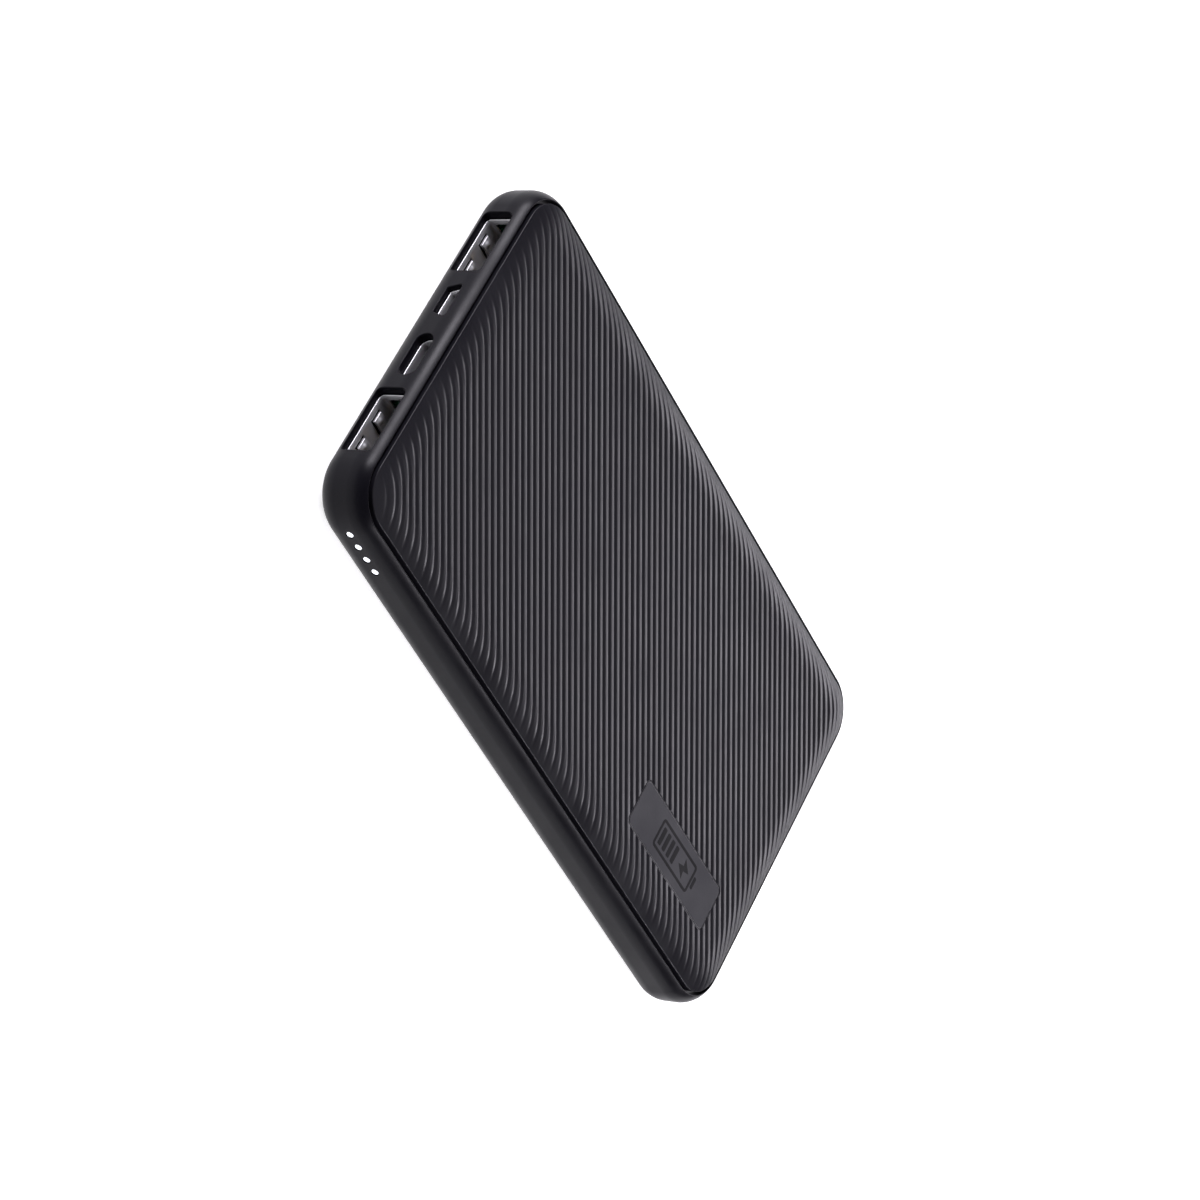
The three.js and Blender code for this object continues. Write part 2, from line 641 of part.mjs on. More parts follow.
// A nickel tab folds from the cell's terrace down onto the protection board.
function makeTab(side) {
  const start = CELL.front - TERRACE.length - CLEARANCE;
  const top = CELL_LEVEL + TAB.thickness / 2;
  const foot = PROTECTION.halfHeight + CLEARANCE;
  const inner = TAB.front + TAB.thickness;
  const points = [
    [start, top], [TAB.front, top], [TAB.front, foot], [start, foot], [start, foot + TAB.thickness],
    [inner, foot + TAB.thickness], [inner, top - TAB.thickness], [start, top - TAB.thickness],
  ];
  const profile = polygon(points.map(([y, z]) => [y, side * z]));
  return prismX(profile, -TAB.width / 2, TAB.width / 2);
}

// An insulated lead arches from the protection board to the main board, on one side of X.
function makeLead(side) {
  const boardLevel = BOARD_TOP + CLEARANCE + LEAD.radius;
  const startLevel = PROTECTION.halfHeight + CLEARANCE + LEAD.radius;
  const route = new THREE.CatmullRomCurve3([
    new THREE.Vector3(0, -43.2, startLevel),
    new THREE.Vector3(0, -45.4, startLevel + 0.1),
    new THREE.Vector3(side * -0.4, -47.8, startLevel),
    new THREE.Vector3(side * -1.2, -50, boardLevel + 0.5),
    new THREE.Vector3(side * -1.4, -52.2, boardLevel),
  ]);
  const section = new THREE.Shape().absarc(0, 0, LEAD.radius, 0, Math.PI * 2);
  return new THREE.ExtrudeGeometry(section, { steps: 8, curveSegments: 8, extrudePath: route });
}

for (const [name, side] of [['front', 1], ['rear', -1]]) {
  place(`${name}_cell`, makeCell(), cellFoil, 0, 0, side * CELL_LEVEL);
  place(`${name}_cell_tab_positive`, makeTab(side), steel, TAB.x);
  place(`${name}_cell_tab_negative`, makeTab(side), steel, -TAB.x);
}

function makeCellTape() {
  const { halfWidth, halfThickness, margin } = CELL_TAPE;
  const rear = CELL.front + CELL.length - margin;
  return box(-halfWidth, halfWidth, CELL.front + margin, rear, -halfThickness, halfThickness);
}

place('cell_tape', makeCellTape(), yellowTape);
place(
  'protection_board',
  box(
    -PROTECTION.halfWidth, PROTECTION.halfWidth, PROTECTION.front, PROTECTION.rear,
    -PROTECTION.halfHeight, PROTECTION.halfHeight,
  ),
  boardGreen,
);
place('battery_lead_positive', makeLead(1), redInsulation, LEAD.x);
place('battery_lead_negative', makeLead(-1), blackInsulation, -LEAD.x);

function makeEndPad() {
  const front = CELL.front + CELL.length + CLEARANCE;
  const { halfWidth, halfHeight } = END_PAD;
  return box(-halfWidth, halfWidth, front, LENGTH / 2 - BOARD_INSET, -halfHeight, halfHeight);
}

place('end_foam_pad', makeEndPad(), greyFoam);

export default powerBank;
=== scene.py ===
"""The looks of a slim power bank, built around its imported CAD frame.

Shapes are worked out in millimetres, with heights measured from the middle of the
thickness, and turned into metres in the row frame when a mesh is made. The ports look
along -Y, the charge lights along +X and the power button along -X.
"""

import cmath
import math

import bmesh
import bpy
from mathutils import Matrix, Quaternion, Vector
from mathutils.geometry import delaunay_2d_cdt


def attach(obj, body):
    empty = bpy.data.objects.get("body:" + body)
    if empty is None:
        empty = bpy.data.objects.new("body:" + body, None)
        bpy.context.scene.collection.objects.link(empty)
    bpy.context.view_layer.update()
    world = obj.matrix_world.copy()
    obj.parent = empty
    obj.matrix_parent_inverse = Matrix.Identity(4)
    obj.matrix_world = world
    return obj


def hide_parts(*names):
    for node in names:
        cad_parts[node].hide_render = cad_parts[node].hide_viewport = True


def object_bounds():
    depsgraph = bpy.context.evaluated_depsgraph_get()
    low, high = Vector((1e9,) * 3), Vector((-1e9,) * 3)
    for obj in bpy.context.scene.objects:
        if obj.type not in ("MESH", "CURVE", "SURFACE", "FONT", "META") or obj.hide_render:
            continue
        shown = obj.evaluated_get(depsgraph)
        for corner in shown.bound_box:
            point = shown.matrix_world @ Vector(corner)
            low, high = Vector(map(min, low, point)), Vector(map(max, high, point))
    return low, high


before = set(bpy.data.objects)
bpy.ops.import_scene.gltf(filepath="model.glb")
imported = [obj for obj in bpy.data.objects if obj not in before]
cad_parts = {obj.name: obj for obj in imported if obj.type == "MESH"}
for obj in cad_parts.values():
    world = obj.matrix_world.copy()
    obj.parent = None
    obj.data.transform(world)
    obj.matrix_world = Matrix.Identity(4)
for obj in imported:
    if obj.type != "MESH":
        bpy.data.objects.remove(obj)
cad_low, cad_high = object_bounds()

# ---------------------------------------------------------------- driving dimensions

MM = 0.001
WIDTH = (cad_high.x - cad_low.x) / MM
LENGTH = (cad_high.y - cad_low.y) / MM
HALF_THICKNESS = (cad_high.z - cad_low.z) / MM / 2
CORNER_RADIUS = 9.0

# Middle frame: a flat strip, rounded on both sides up to a small lip.
FLAT_HALF = 1.27
SIDE_ROUND = 4.75
LIP_TILT = math.radians(45.6)
LIP_FILLET = 0.14
LEDGE = 3.6
WALL = 2.6
HOLE_FILLET = 0.16

# Covers: flat in the middle, falling along an arc to a rounded edge.
CROWN_RADIUS = 18.0
CROWN_MARGIN = 9.0
COVER_EDGE = 2.3
COVER_EDGE_ROUND = 0.12
COVER_FOOT = LEDGE + 0.3
COVER_RIM = 0.95
COVER_THICKNESS = 1.2

# Ribs run at 45 degrees across the front cover and sink into its falling edge.
RIB_PITCH = 1.667
RIB_PHASE = 0.2
RIB_DEPTH = 0.3
RIB_SHARPNESS = 3
RIB_FADE = {"start": 1.5, "full": 8.6, "power": 1.5}
RIB_BEND = {"reach": 8.0, "growth": 0.035}
# Where the lines of the mesh run across one pitch.
RIB_SAMPLES = (0.0, 0.06, 0.12, 0.18, 0.25, 0.36, 0.5, 0.64, 0.75, 0.82, 0.88, 0.94)

# A flat badge without ribs, framed by a fine groove.
BADGE = {"x": 22.0, "y": 40.5, "half_x": 4.7, "half_y": 15.9, "radius": 1.2}
BADGE_GROOVE = {"half_width": 0.24, "depth": 0.22}
BADGE_DROP = 0.08

# Ports, charge lights and power button, as in the CAD source.
END_FACE = -LENGTH / 2
USB_A = {"x": 20.2, "z": 0.0, "mouth": 1.5, "width": 13.1, "height": 5.7, "corner": 0.9, "length": 14.0}
USB_A_CUTOUT = {"width": 13.7, "height": 6.1, "corner": 1.0}
USB_C = {"x": 5.75, "z": 0.75, "mouth": 1.5, "width": 8.94, "height": 3.2, "length": 7.3}
MICRO = {"x": -6.6, "z": 0.4, "mouth": 1.0, "width": 7.0, "height": 2.3, "length": 5.6, "taper": 0.9}
PORT_WALL = 0.3
USB_C_OPENING = {"slack": 0.15, "corner_slack": 0.149}
MICRO_OPENING = {"side_slack": 0.2, "edge_slack": 0.25, "corner": 0.5}
MICRO_CORNER = 0.4
SHELL_LIP = {"usb_c": 0.08, "micro": 0.12}
LIGHTS = {"count": 4, "first": -61.0, "pitch": 3.0, "hole": 0.7}
BUTTON_Y = -55.0
BUTTON_OPENING = {"length": 9.5, "height": 3.6}
BUTTON_DISH = {"length": 13.0, "height": 5.2, "depth": 0.35}

# In y: where the long sides end, and the span of the panels for the lights and the button.
CORNER_Y = 61.0
OPENINGS_START_Y = -64.0
OPENINGS_END_Y = -48.0

# A corner radius this share of the half width leaves its two arcs just apart.
FULL_ROUND = 0.999


# ---------------------------------------------------------------- mesh building

class Shape:
    """Collects welded points with their known smooth normals, and faces, in millimetres."""

    def __init__(self):
        self.points = []
        self.normals = []
        self.faces = []
        self.plain = []
        self.known = {}

    def vertex(self, point, normal=None):
        key = tuple(round(value, 4) for value in point)
        if key not in self.known:
            self.known[key] = len(self.points)
            self.points.append(point)
            self.normals.append(normal)
        return self.known[key]

    def face(self, corners, plain=False):
        """Adds a face; a plain one keeps its own flat shading at its corners."""
        ring = [corner for place, corner in enumerate(corners) if corner != corners[place - 1]]
        if len(set(ring)) > 2:
            self.faces.append(ring)
            self.plain.append(plain)

    def bridge(self, first, second, plain=False):
        """Joins two closed rings of vertices with as many corners each."""
        for place in range(len(first)):
            self.face([first[place - 1], first[place], second[place], second[place - 1]], plain)

    def loft(self, rings, plain=False):
        for first, second in zip(rings, rings[1:]):
            self.bridge(first, second, plain)

    def prism(self, profile, to_point, low, high):
        """A closed prism: a profile of (a, b) points carried from low to high by to_point(a, b, c)."""
        ends = [[self.vertex(to_point(a, b, c)) for a, b in profile] for c in (low, high)]
        self.bridge(*ends, plain=True)
        self.face(ends[0], plain=True)
        self.face(list(reversed(ends[1])), plain=True)

    def make(self, name, material, sharp=35):
        mesh = bpy.data.meshes.new(name)
        scaled = [(x * MM, y * MM, (z + HALF_THICKNESS) * MM) for x, y, z in self.points]
        mesh.from_pydata(scaled, [], self.faces)
        turned = bmesh.new()
        turned.from_mesh(mesh)
        bmesh.ops.recalc_face_normals(turned, faces=turned.faces)
        turned.to_mesh(mesh)
        turned.free()
        mesh.materials.append(material)
        mesh.polygons.foreach_set("use_smooth", [True] * len(self.faces))
        mesh.set_sharp_from_angle(angle=math.radians(sharp))
        if any(normal is not None for normal in self.normals):
            known = [(0, 0, 0)] * len(mesh.loops)
            for polygon in mesh.polygons:
                if not self.plain[polygon.index]:
                    for corner in polygon.loop_indices:
                        known[corner] = self.normals[mesh.loops[corner].vertex_index] or (0, 0, 0)
            mesh.normals_split_custom_set(known)
        piece = bpy.data.objects.new(name, mesh)
        bpy.context.scene.collection.objects.link(piece)
        return piece


def smooth_step(value):
    limited = min(max(value, 0.0), 1.0)
    return limited * limited * (3 - 2 * limited)


def mix(first, second, share):
    return first + (second - first) * share


def spread(start, end, steps):
    return [mix(start, end, step / steps) for step in range(steps + 1)]


# ---------------------------------------------------------------- flat outlines

def rounded_polygon(corners, radius, arc_steps=6, edge_steps=4):
    """A rounded outline, anticlockwise, as (a, b, na, nb) with the outward direction (na, nb)."""
    points = [complex(*corner) for corner in corners]
    count = len(points)
    arcs = []
    for place in range(count):
        before = points[place] - points[place - 1]
        after = points[(place + 1) % count] - points[place]
        first = before / abs(before) * -1j
        second = after / abs(after) * -1j
        cosine = (first * second.conjugate()).real
        centre = points[place] - (first + second) * radius / (1 + cosine)
        turn = cmath.phase(second / first)
        steps = [turn * step / arc_steps for step in range(arc_steps + 1)]
        arcs.append([(centre, first * cmath.rect(1, angle)) for angle in steps])
    outline = []
    for place, arc in enumerate(arcs):
        outline += [(centre + direction * radius, direction) for centre, direction in arc]
        last, direction = outline[-1]
        centre, first = arcs[(place + 1) % count][0]
        target = centre + first * radius
        outline += [(mix(last, target, step / edge_steps), direction) for step in range(1, edge_steps)]
    result = []
    for place, (point, direction) in enumerate(outline):
        if abs(point - outline[place - 1][0]) > 1e-6:
            result.append((point.real, point.imag, direction.real, direction.imag))
    return result


def rectangle(half_a, half_b, taper=0.0):
    """Corners of a rectangle that is narrower by taper on each side at its low edge."""
    return [(taper - half_a, -half_b), (half_a - taper, -half_b), (half_a, half_b), (-half_a, half_b)]


def moved(outline, offset_a, offset_b):
    return [(a + offset_a, b + offset_b, na, nb) for a, b, na, nb in outline]


def grown(outline, distance):
    return [(a + na * distance, b + nb * distance) for a, b, na, nb in outline]


def is_inside(outline, a, b):
    inside = False
    for place in range(len(outline)):
        (a0, b0), (a1, b1) = outline[place - 1], outline[place]
        if (b0 > b) != (b1 > b) and a < a0 + (b - b0) / (b1 - b0) * (a1 - a0):
            inside = not inside
    return inside


def is_clear(outline, a, b, clearance):
    far = all(math.hypot(a - a0, b - b0) > clearance for a0, b0 in outline)
    return far and not is_inside(outline, a, b)


def fill_with_holes(columns, rows, holes, clearance):
    """Triangles over a grid of columns and rows that leave the inside of each hole open."""
    points = [(column, rows[0]) for column in columns]
    points += [(columns[-1], row) for row in rows[1:]]
    points += [(column, rows[-1]) for column in reversed(columns[:-1])]
    points += [(columns[0], row) for row in reversed(rows[1:-1])]
    edges = [(place, (place + 1) % len(points)) for place in range(len(points))]
    for hole in holes:
        start = len(points)
        edges += [(start + place, start + (place + 1) % len(hole)) for place in range(len(hole))]
        points += hole
    inner = [(column, row) for column in columns[1:-1] for row in rows[1:-1]]
    points += [point for point in inner if all(is_clear(hole, *point, clearance) for hole in holes)]
    result = delaunay_2d_cdt([Vector(point) for point in points], edges, [], 0, 1e-6)
    triangles = []
    for face in result[2]:
        corners = [points[result[3][corner][0]] for corner in face]
        centre = [sum(values) / 3 for values in zip(*corners)]
        if any(is_inside(hole, *centre) for hole in holes):
            continue
        (a0, b0), (a1, b1), (a2, b2) = corners
        if (a1 - a0) * (b2 - b0) < (a2 - a0) * (b1 - b0):
            corners.reverse()
        triangles.append(corners)
    return triangles


# ---------------------------------------------------------------- walking round a rounded rectangle

def around(t, half_a, half_b, radius):
    """Point and outward direction, t millimetres anticlockwise from the middle of the low side."""
    quarter = radius * math.pi / 2
    straights = [2 * (half_a - radius), 2 * (half_b - radius)]
    remaining = (t + straights[0] / 2) % (2 * sum(straights) + 4 * quarter)
    for side in range(4):
        straight = straights[side % 2]
        reach = (half_b, half_a)[side % 2]
        outward = cmath.rect(1, (side - 1) * math.pi / 2)
        if remaining <= straight:
            return outward * reach + outward * 1j * (remaining - straight / 2), outward
        remaining -= straight
        if remaining <= quarter or side == 3:
            direction = outward * cmath.rect(1, remaining / radius)
            centre = outward * (reach - radius) + outward * 1j * straight / 2
            return centre + direction * radius, direction
        remaining -= quarter


def girth(half_a, half_b, radius):
    return 4 * (half_a + half_b - 2 * radius) + 2 * math.pi * radius


PERIMETER = girth(WIDTH / 2, LENGTH / 2, CORNER_RADIUS)
CORNER_START = WIDTH / 2 - CORNER_RADIUS
CORNER_END = CORNER_START + CORNER_RADIUS * math.pi / 2


def plan(t, inset):
    point, outward = around(t, WIDTH / 2, LENGTH / 2, CORNER_RADIUS)
    return point - outward * inset, outward


def side_place(y):
    """Where along the outline the +X side is at y; the -X side is at the same place, negative."""
    return CORNER_END + y + LENGTH / 2 - CORNER_RADIUS


def plan_vertex(shape, t, inset, z, tilt=None):
    point, outward = plan(t, inset)
    normal = None
    if tilt is not None:
        flat = outward * math.cos(tilt)
        normal = (flat.real, flat.imag, math.sin(tilt))
    return shape.vertex((point.real, point.imag, z), normal)


# ---------------------------------------------------------------- materials

def link(tree, source, output, target, socket):
    tree.links.new(source.outputs[output], target.inputs[socket])


def add_node(tree, kind, inputs):
    node = tree.nodes.new("ShaderNode" + kind)
    for name, value in inputs.items():
        node.inputs[name].default_value = value
    return node


def surface(name, colour, roughness, metallic=0.0, specular=0.5, variation=0.12, grain=3500.0,
            bump=0.00001, roughness_spread=0.06, brushed=None, coat=0.0):
    """A surface with fine grain in its relief and slow changes of tone and gloss."""
    material = bpy.data.materials.new(name)
    material.use_nodes = True
    tree = material.node_tree
    shader = tree.nodes["Principled BSDF"]
    shader.inputs["Metallic"].default_value = metallic
    shader.inputs["Specular IOR Level"].default_value = specular
    shader.inputs["Coat Weight"].default_value = coat
    place = tree.nodes.new("ShaderNodeTexCoord")
    stretch = add_node(tree, "Mapping", {"Scale": brushed or (1, 1, 1)})
    link(tree, place, "Object", stretch, "Vector")
    fine = add_node(tree, "TexNoise", {"Scale": grain, "Detail": 2})
    link(tree, stretch, "Vector", fine, "Vector")
    slow = add_node(tree, "TexNoise", {"Scale": 120, "Detail": 4})
    link(tree, place, "Object", slow, "Vector")
    blend = add_node(tree, "Math", {1: 0.5})
    blend.operation = "MULTIPLY_ADD"
    link(tree, fine, "Fac", blend, 0)
    half = add_node(tree, "Math", {1: 0.5})
    half.operation = "MULTIPLY"
    link(tree, slow, "Fac", half, 0)
    link(tree, half, "Value", blend, 2)
    tone = tree.nodes.new("ShaderNodeValToRGB")
    tone.color_ramp.elements[0].position = 0.3
    tone.color_ramp.elements[1].position = 0.7
    tone.color_ramp.elements[0].color = [value * (1 - variation) for value in colour] + [1]
    tone.color_ramp.elements[1].color = [value * (1 + variation) for value in colour] + [1]
    link(tree, blend, "Value", tone, "Fac")
    link(tree, tone, "Color", shader, "Base Color")
    low, high = roughness - roughness_spread, roughness + roughness_spread
    gloss = add_node(tree, "MapRange", {"From Min": 0.3, "From Max": 0.7, "To Min": low, "To Max": high})
    link(tree, slow, "Fac", gloss, "Value")
    link(tree, gloss, "Result", shader, "Roughness")
    relief = add_node(tree, "Bump", {"Strength": 0.5, "Distance": bump})
    link(tree, fine, "Fac", relief, "Height")
    link(tree, relief, "Normal", shader, "Normal")
    return material


# The frame's low specular level makes up for the bright floor that it reflects.
frame_plastic = surface("satin_frame_plastic", (0.0042, 0.0039, 0.0062), 0.36, specular=0.11)
front_plastic = surface("ribbed_cover_plastic", (0.0078, 0.0074, 0.0106), 0.38, specular=0.3)
rear_plastic = surface("rear_cover_plastic", (0.03, 0.03, 0.034), 0.5, specular=0.4, bump=0.00002)
badge_plastic = surface("badge_plastic", (0.0195, 0.0189, 0.0235), 0.55, specular=0.17)
print_ink = surface("badge_ink", (0.004, 0.004, 0.005), 0.6, specular=0.08)
port_steel = surface("port_steel", (0.52, 0.52, 0.535), 0.42, metallic=0.8, variation=0.06, grain=900.0,
                     bump=0.000004, brushed=(1, 0.1, 1))

# ---------------------------------------------------------------- middle frame

def band(s):
    """Inset, height and tilt on the frame's outer side, s millimetres up round its section."""
    sign = math.copysign(1, s)
    if abs(s) <= FLAT_HALF:
        return 0.0, s, 0.0
    tilt = (abs(s) - FLAT_HALF) / SIDE_ROUND
    inset = SIDE_ROUND * (1 - math.cos(tilt))
    return inset, sign * (FLAT_HALF + SIDE_ROUND * math.sin(tilt)), sign * tilt


def band_place(z):
    """The inverse of band: how far round the section the height z is."""
    if abs(z) <= FLAT_HALF:
        return z
    return math.copysign(FLAT_HALF + SIDE_ROUND * math.asin((abs(z) - FLAT_HALF) / SIDE_ROUND), z)


LIP_START = FLAT_HALF + SIDE_ROUND * LIP_TILT
BAND_ROWS = spread(-LIP_START, -FLAT_HALF, 9) + [0.0] + spread(FLAT_HALF, LIP_START, 9)
LIP_CENTRE_INSET = band(LIP_START)[0] + LIP_FILLET * math.cos(LIP_TILT)
LIP_CENTRE_Z = band(LIP_START)[1] - LIP_FILLET * math.sin(LIP_TILT)
REBATE = LIP_CENTRE_INSET + LIP_FILLET


def frame_section():
    """The frame's closed section as (inset, z, tilt), anticlockwise from its low outer lip."""
    outer = [band(s) for s in BAND_ROWS]
    upper = []
    for tilt in spread(LIP_TILT, math.pi, 8)[1:]:
        inset = LIP_CENTRE_INSET - LIP_FILLET * math.cos(tilt)
        upper.append((inset, LIP_CENTRE_Z + LIP_FILLET * math.sin(tilt), tilt))
    upper += [(REBATE, LEDGE, None), (WALL, LEDGE, None)]
    lower = [(inset, -z, None if tilt is None else -tilt) for inset, z, tilt in reversed(upper)]
    return outer + upper + lower


def frame_stations():
    """Places round the outline where the frame's section is set, closer together beside openings."""
    half = spread(0, CORNER_START, 19)
    half += spread(CORNER_START, CORNER_END, 24)[1:]
    far_corner = side_place(CORNER_Y)
    far_end = side_place(CORNER_Y) + CORNER_RADIUS * math.pi / 2
    half += spread(side_place(-CORNER_Y), side_place(OPENINGS_END_Y), 13)[1:]
    half += spread(side_place(OPENINGS_END_Y), far_corner, 16)[1:]
    half += spread(far_corner, far_end, 24)[1:]
    half += spread(far_end, PERIMETER / 2, 8)[1:]
    return [-t for t in reversed(half[1:])] + half


def frame_openings():
    """The outlines of the port openings in the end and of the light holes in the +X side."""
    cutout = rounded_polygon(
        rectangle(USB_A_CUTOUT["width"] / 2, USB_A_CUTOUT["height"] / 2), USB_A_CUTOUT["corner"], 8, 8)
    slack = USB_C_OPENING["slack"]
    usb_c_sides = rectangle(USB_C["width"] / 2 + slack, USB_C["height"] / 2 + slack)
    usb_c = rounded_polygon(usb_c_sides, USB_C["height"] / 2 + USB_C_OPENING["corner_slack"], 12, 8)
    micro_half_width = MICRO["width"] / 2 + MICRO_OPENING["side_slack"]
    micro_half_height = MICRO["height"] / 2 + MICRO_OPENING["edge_slack"]
    micro_sides = rectangle(micro_half_width, micro_half_height, MICRO["taper"])
    micro = rounded_polygon(micro_sides, MICRO_OPENING["corner"], 6, 6)
    ports = [
        moved(cutout, -USB_A["x"], USB_A["z"]),
        moved(cutout, USB_A["x"], USB_A["z"]),
        moved(usb_c, USB_C["x"], USB_C["z"]),
        moved(micro, MICRO["x"], MICRO["z"]),
    ]
    hole = rounded_polygon(rectangle(LIGHTS["hole"], LIGHTS["hole"]), LIGHTS["hole"] * FULL_ROUND, 8, 1)
    lights = [moved(hole, side_place(y), 0) for y in light_spots()]
    return ports, lights


def light_spots():
    return [LIGHTS["first"] + LIGHTS["pitch"] * place for place in range(LIGHTS["count"])]


def stadium(length, height):
    return rounded_polygon(rectangle(length / 2, height / 2), height / 2 * FULL_ROUND, 10, 8)


def build_frame():
    shape = Shape()
    section = frame_section()
    stations = frame_stations()
    last_outer = len(BAND_ROWS) - 1
    ports, lights = frame_openings()
    button_t = -side_place(BUTTON_Y)
    opening = moved(stadium(BUTTON_OPENING["length"], BUTTON_OPENING["height"]), button_t, 0)
    dish = moved(stadium(BUTTON_DISH["length"], BUTTON_DISH["height"]), button_t, 0)
    side_start = nearest_station(stations, side_place(OPENINGS_START_Y))
    side_end = side_place(OPENINGS_END_Y)
    panels = [
        (-CORNER_START, CORNER_START, ports, None),
        (side_start, side_end, lights, None),
        (-side_end, -side_start, [opening], dish),
    ]
    inner_first = section.index((WALL, LEDGE, None))

    def in_panel(t0, t1):
        middle = (t0 + t1) / 2
        return any(start < middle < end for start, end, holes, scoop in panels)

    for t0, t1 in zip(stations, stations[1:]):
        open_side = in_panel(t0, t1)
        for place in range(len(section)):
            following = (place + 1) % len(section)
            if open_side and (place < last_outer or place == inner_first):
                continue
            corners = [
                plan_vertex(shape, t, *section[row])
                for t, row in ((t0, place), (t1, place), (t1, following), (t0, following))
            ]
            shape.face(corners)

    for start, end, outlines, scoop in panels:
        columns = [t for t in stations if start - 1e-6 <= t <= end + 1e-6]
        outer_holes = []
        for outline in outlines:
            edge = grown(scoop, 0.0) if scoop else grown(outline, HOLE_FILLET)
            outer_holes.append([(t, band_place(z)) for t, z in edge])
        for triangle in fill_with_holes(columns, BAND_ROWS, outer_holes, 0.35):
            shape.face([plan_vertex(shape, t, *band(s)) for t, s in triangle])
        inner_holes = [[(t, z) for t, z in grown(outline, 0)] for outline in outlines]
        for triangle in fill_with_holes(columns, spread(-LEDGE, LEDGE, 4), inner_holes, 0.5):
            shape.face([plan_vertex(shape, t, WALL, z) for t, z in reversed(triangle)])
        for outline in outlines:
            add_hole(shape, outline, scoop)
    return shape.make("middle_frame_shell", frame_plastic)


def nearest_station(stations, t):
    return min(stations, key=lambda station: abs(station - t))


def add_hole(shape, outline, scoop):
    """The rounded edge and the walls of one opening, with a soft finger scoop round the button's."""
    rings = []
    if scoop:
        edge = [(t, z) for t, z in grown(outline, HOLE_FILLET)]
        for share in spread(0, 1, 10):
            ring = []
            for (t0, z0), (t1, z1) in zip(grown(scoop, 0), edge):
                t, z = mix(t0, t1, share), mix(z0, z1, share)
                inset = mix(band(band_place(z))[0], BUTTON_DISH["depth"], smooth_step(share))
                tilt = band(band_place(z))[2] if share == 0 else None
                ring.append(plan_vertex(shape, t, inset, z, tilt))
            rings.append(ring)
    for turn in spread(0, math.pi / 2, 5)[1 if scoop else 0:]:
        ring = []
        for t, z, nt, nz in outline:
            grow = HOLE_FILLET * (1 - math.sin(turn))
            deep = HOLE_FILLET * (1 - math.cos(turn))
            reach_t, reach_z = t + nt * grow, z + nz * grow
            if scoop:
                start, tilt = BUTTON_DISH["depth"], 0.0
            else:
                start, s, tilt = band(band_place(reach_z))
            point, outward = plan(reach_t, start + deep)
            along = outward * 1j
            face = math.cos(turn)
            wall = math.sin(turn)
            flat = outward * math.cos(tilt) * face - along * nt * wall
            normal = (flat.real, flat.imag, math.sin(tilt) * face - nz * wall)
            ring.append(shape.vertex((point.real, point.imag, reach_z), normal))
        rings.append(ring)
    rings.append([plan_vertex(shape, t, WALL, z) for t, z in grown(outline, 0)])
    shape.loft([list(reversed(ring)) for ring in rings])


# ---------------------------------------------------------------- covers

ROOT_HALF = math.sqrt(0.5)


def signed_distance(x, y, half_x, half_y, radius):
    """How far outside a rounded rectangle the point is; negative inside."""
    qx = abs(x) - half_x + radius
    qy = abs(y) - half_y + radius
    return math.hypot(max(qx, 0), max(qy, 0)) + min(max(qx, qy), 0) - radius


def crown(depth):
    """Height of the cover's surface, depth millimetres in from the side."""
    reach = min(max(CROWN_MARGIN - depth, 0), CROWN_MARGIN)
    return HALF_THICKNESS - CROWN_RADIUS + math.sqrt(CROWN_RADIUS**2 - reach**2)


def ribs(u):
    return math.cos(math.pi * (u / RIB_PITCH - RIB_PHASE)) ** (2 * RIB_SHARPNESS)


def ribbed_height(x, y):
    depth = -signed_distance(x, y, WIDTH / 2, LENGTH / 2, CORNER_RADIUS)
    share = (depth - RIB_FADE["start"]) / (RIB_FADE["full"] - RIB_FADE["start"])
    fade = min(max(share, 0), 1) ** RIB_FADE["power"]
    bend = RIB_BEND["growth"] * max(RIB_BEND["reach"] - depth, 0) ** 2
    groove = RIB_DEPTH * fade * ribs((x - y) * ROOT_HALF - bend)
    from_badge = (x - BADGE["x"], y - BADGE["y"])
    badge = signed_distance(*from_badge, BADGE["half_x"], BADGE["half_y"], BADGE["radius"])
    half = BADGE_GROOVE["half_width"]
    if badge < half:
        share = smooth_step((badge + half) / (2 * half))
        frame_groove = BADGE_GROOVE["depth"] * math.cos(min(abs(badge) / half, 1) * math.pi / 2) ** 2
        groove = max(groove * share, frame_groove, BADGE_DROP * (1 - share))
    return crown(depth) - groove


def chord(u, half_x, half_y, radius, centre_x=0.0, centre_y=0.0):
    """The first and last v where the line of constant u crosses a rounded rectangle, or None."""
    shift_u = (centre_x - centre_y) * ROOT_HALF
    shift_v = (centre_x + centre_y) * ROOT_HALF
    local = u - shift_u
    reach = math.sqrt(2)
    low = max(-half_x * reach - local, -half_y * reach + local)
    high = min(half_x * reach - local, half_y * reach + local)
    middle = (low + high) / 2

    def outside(v):
        return signed_distance((local + v) * ROOT_HALF, (v - local) * ROOT_HALF, half_x, half_y, radius)

    if outside(middle) > 0:
        return None
    ends = []
    for far in (low - 1, high + 1):
        inner, outer = middle, far
        for step in range(40):
            half_way = (inner + outer) / 2
            if outside(half_way) > 0:
                outer = half_way
            else:
                inner = half_way
        ends.append(inner + shift_v)
    return ends


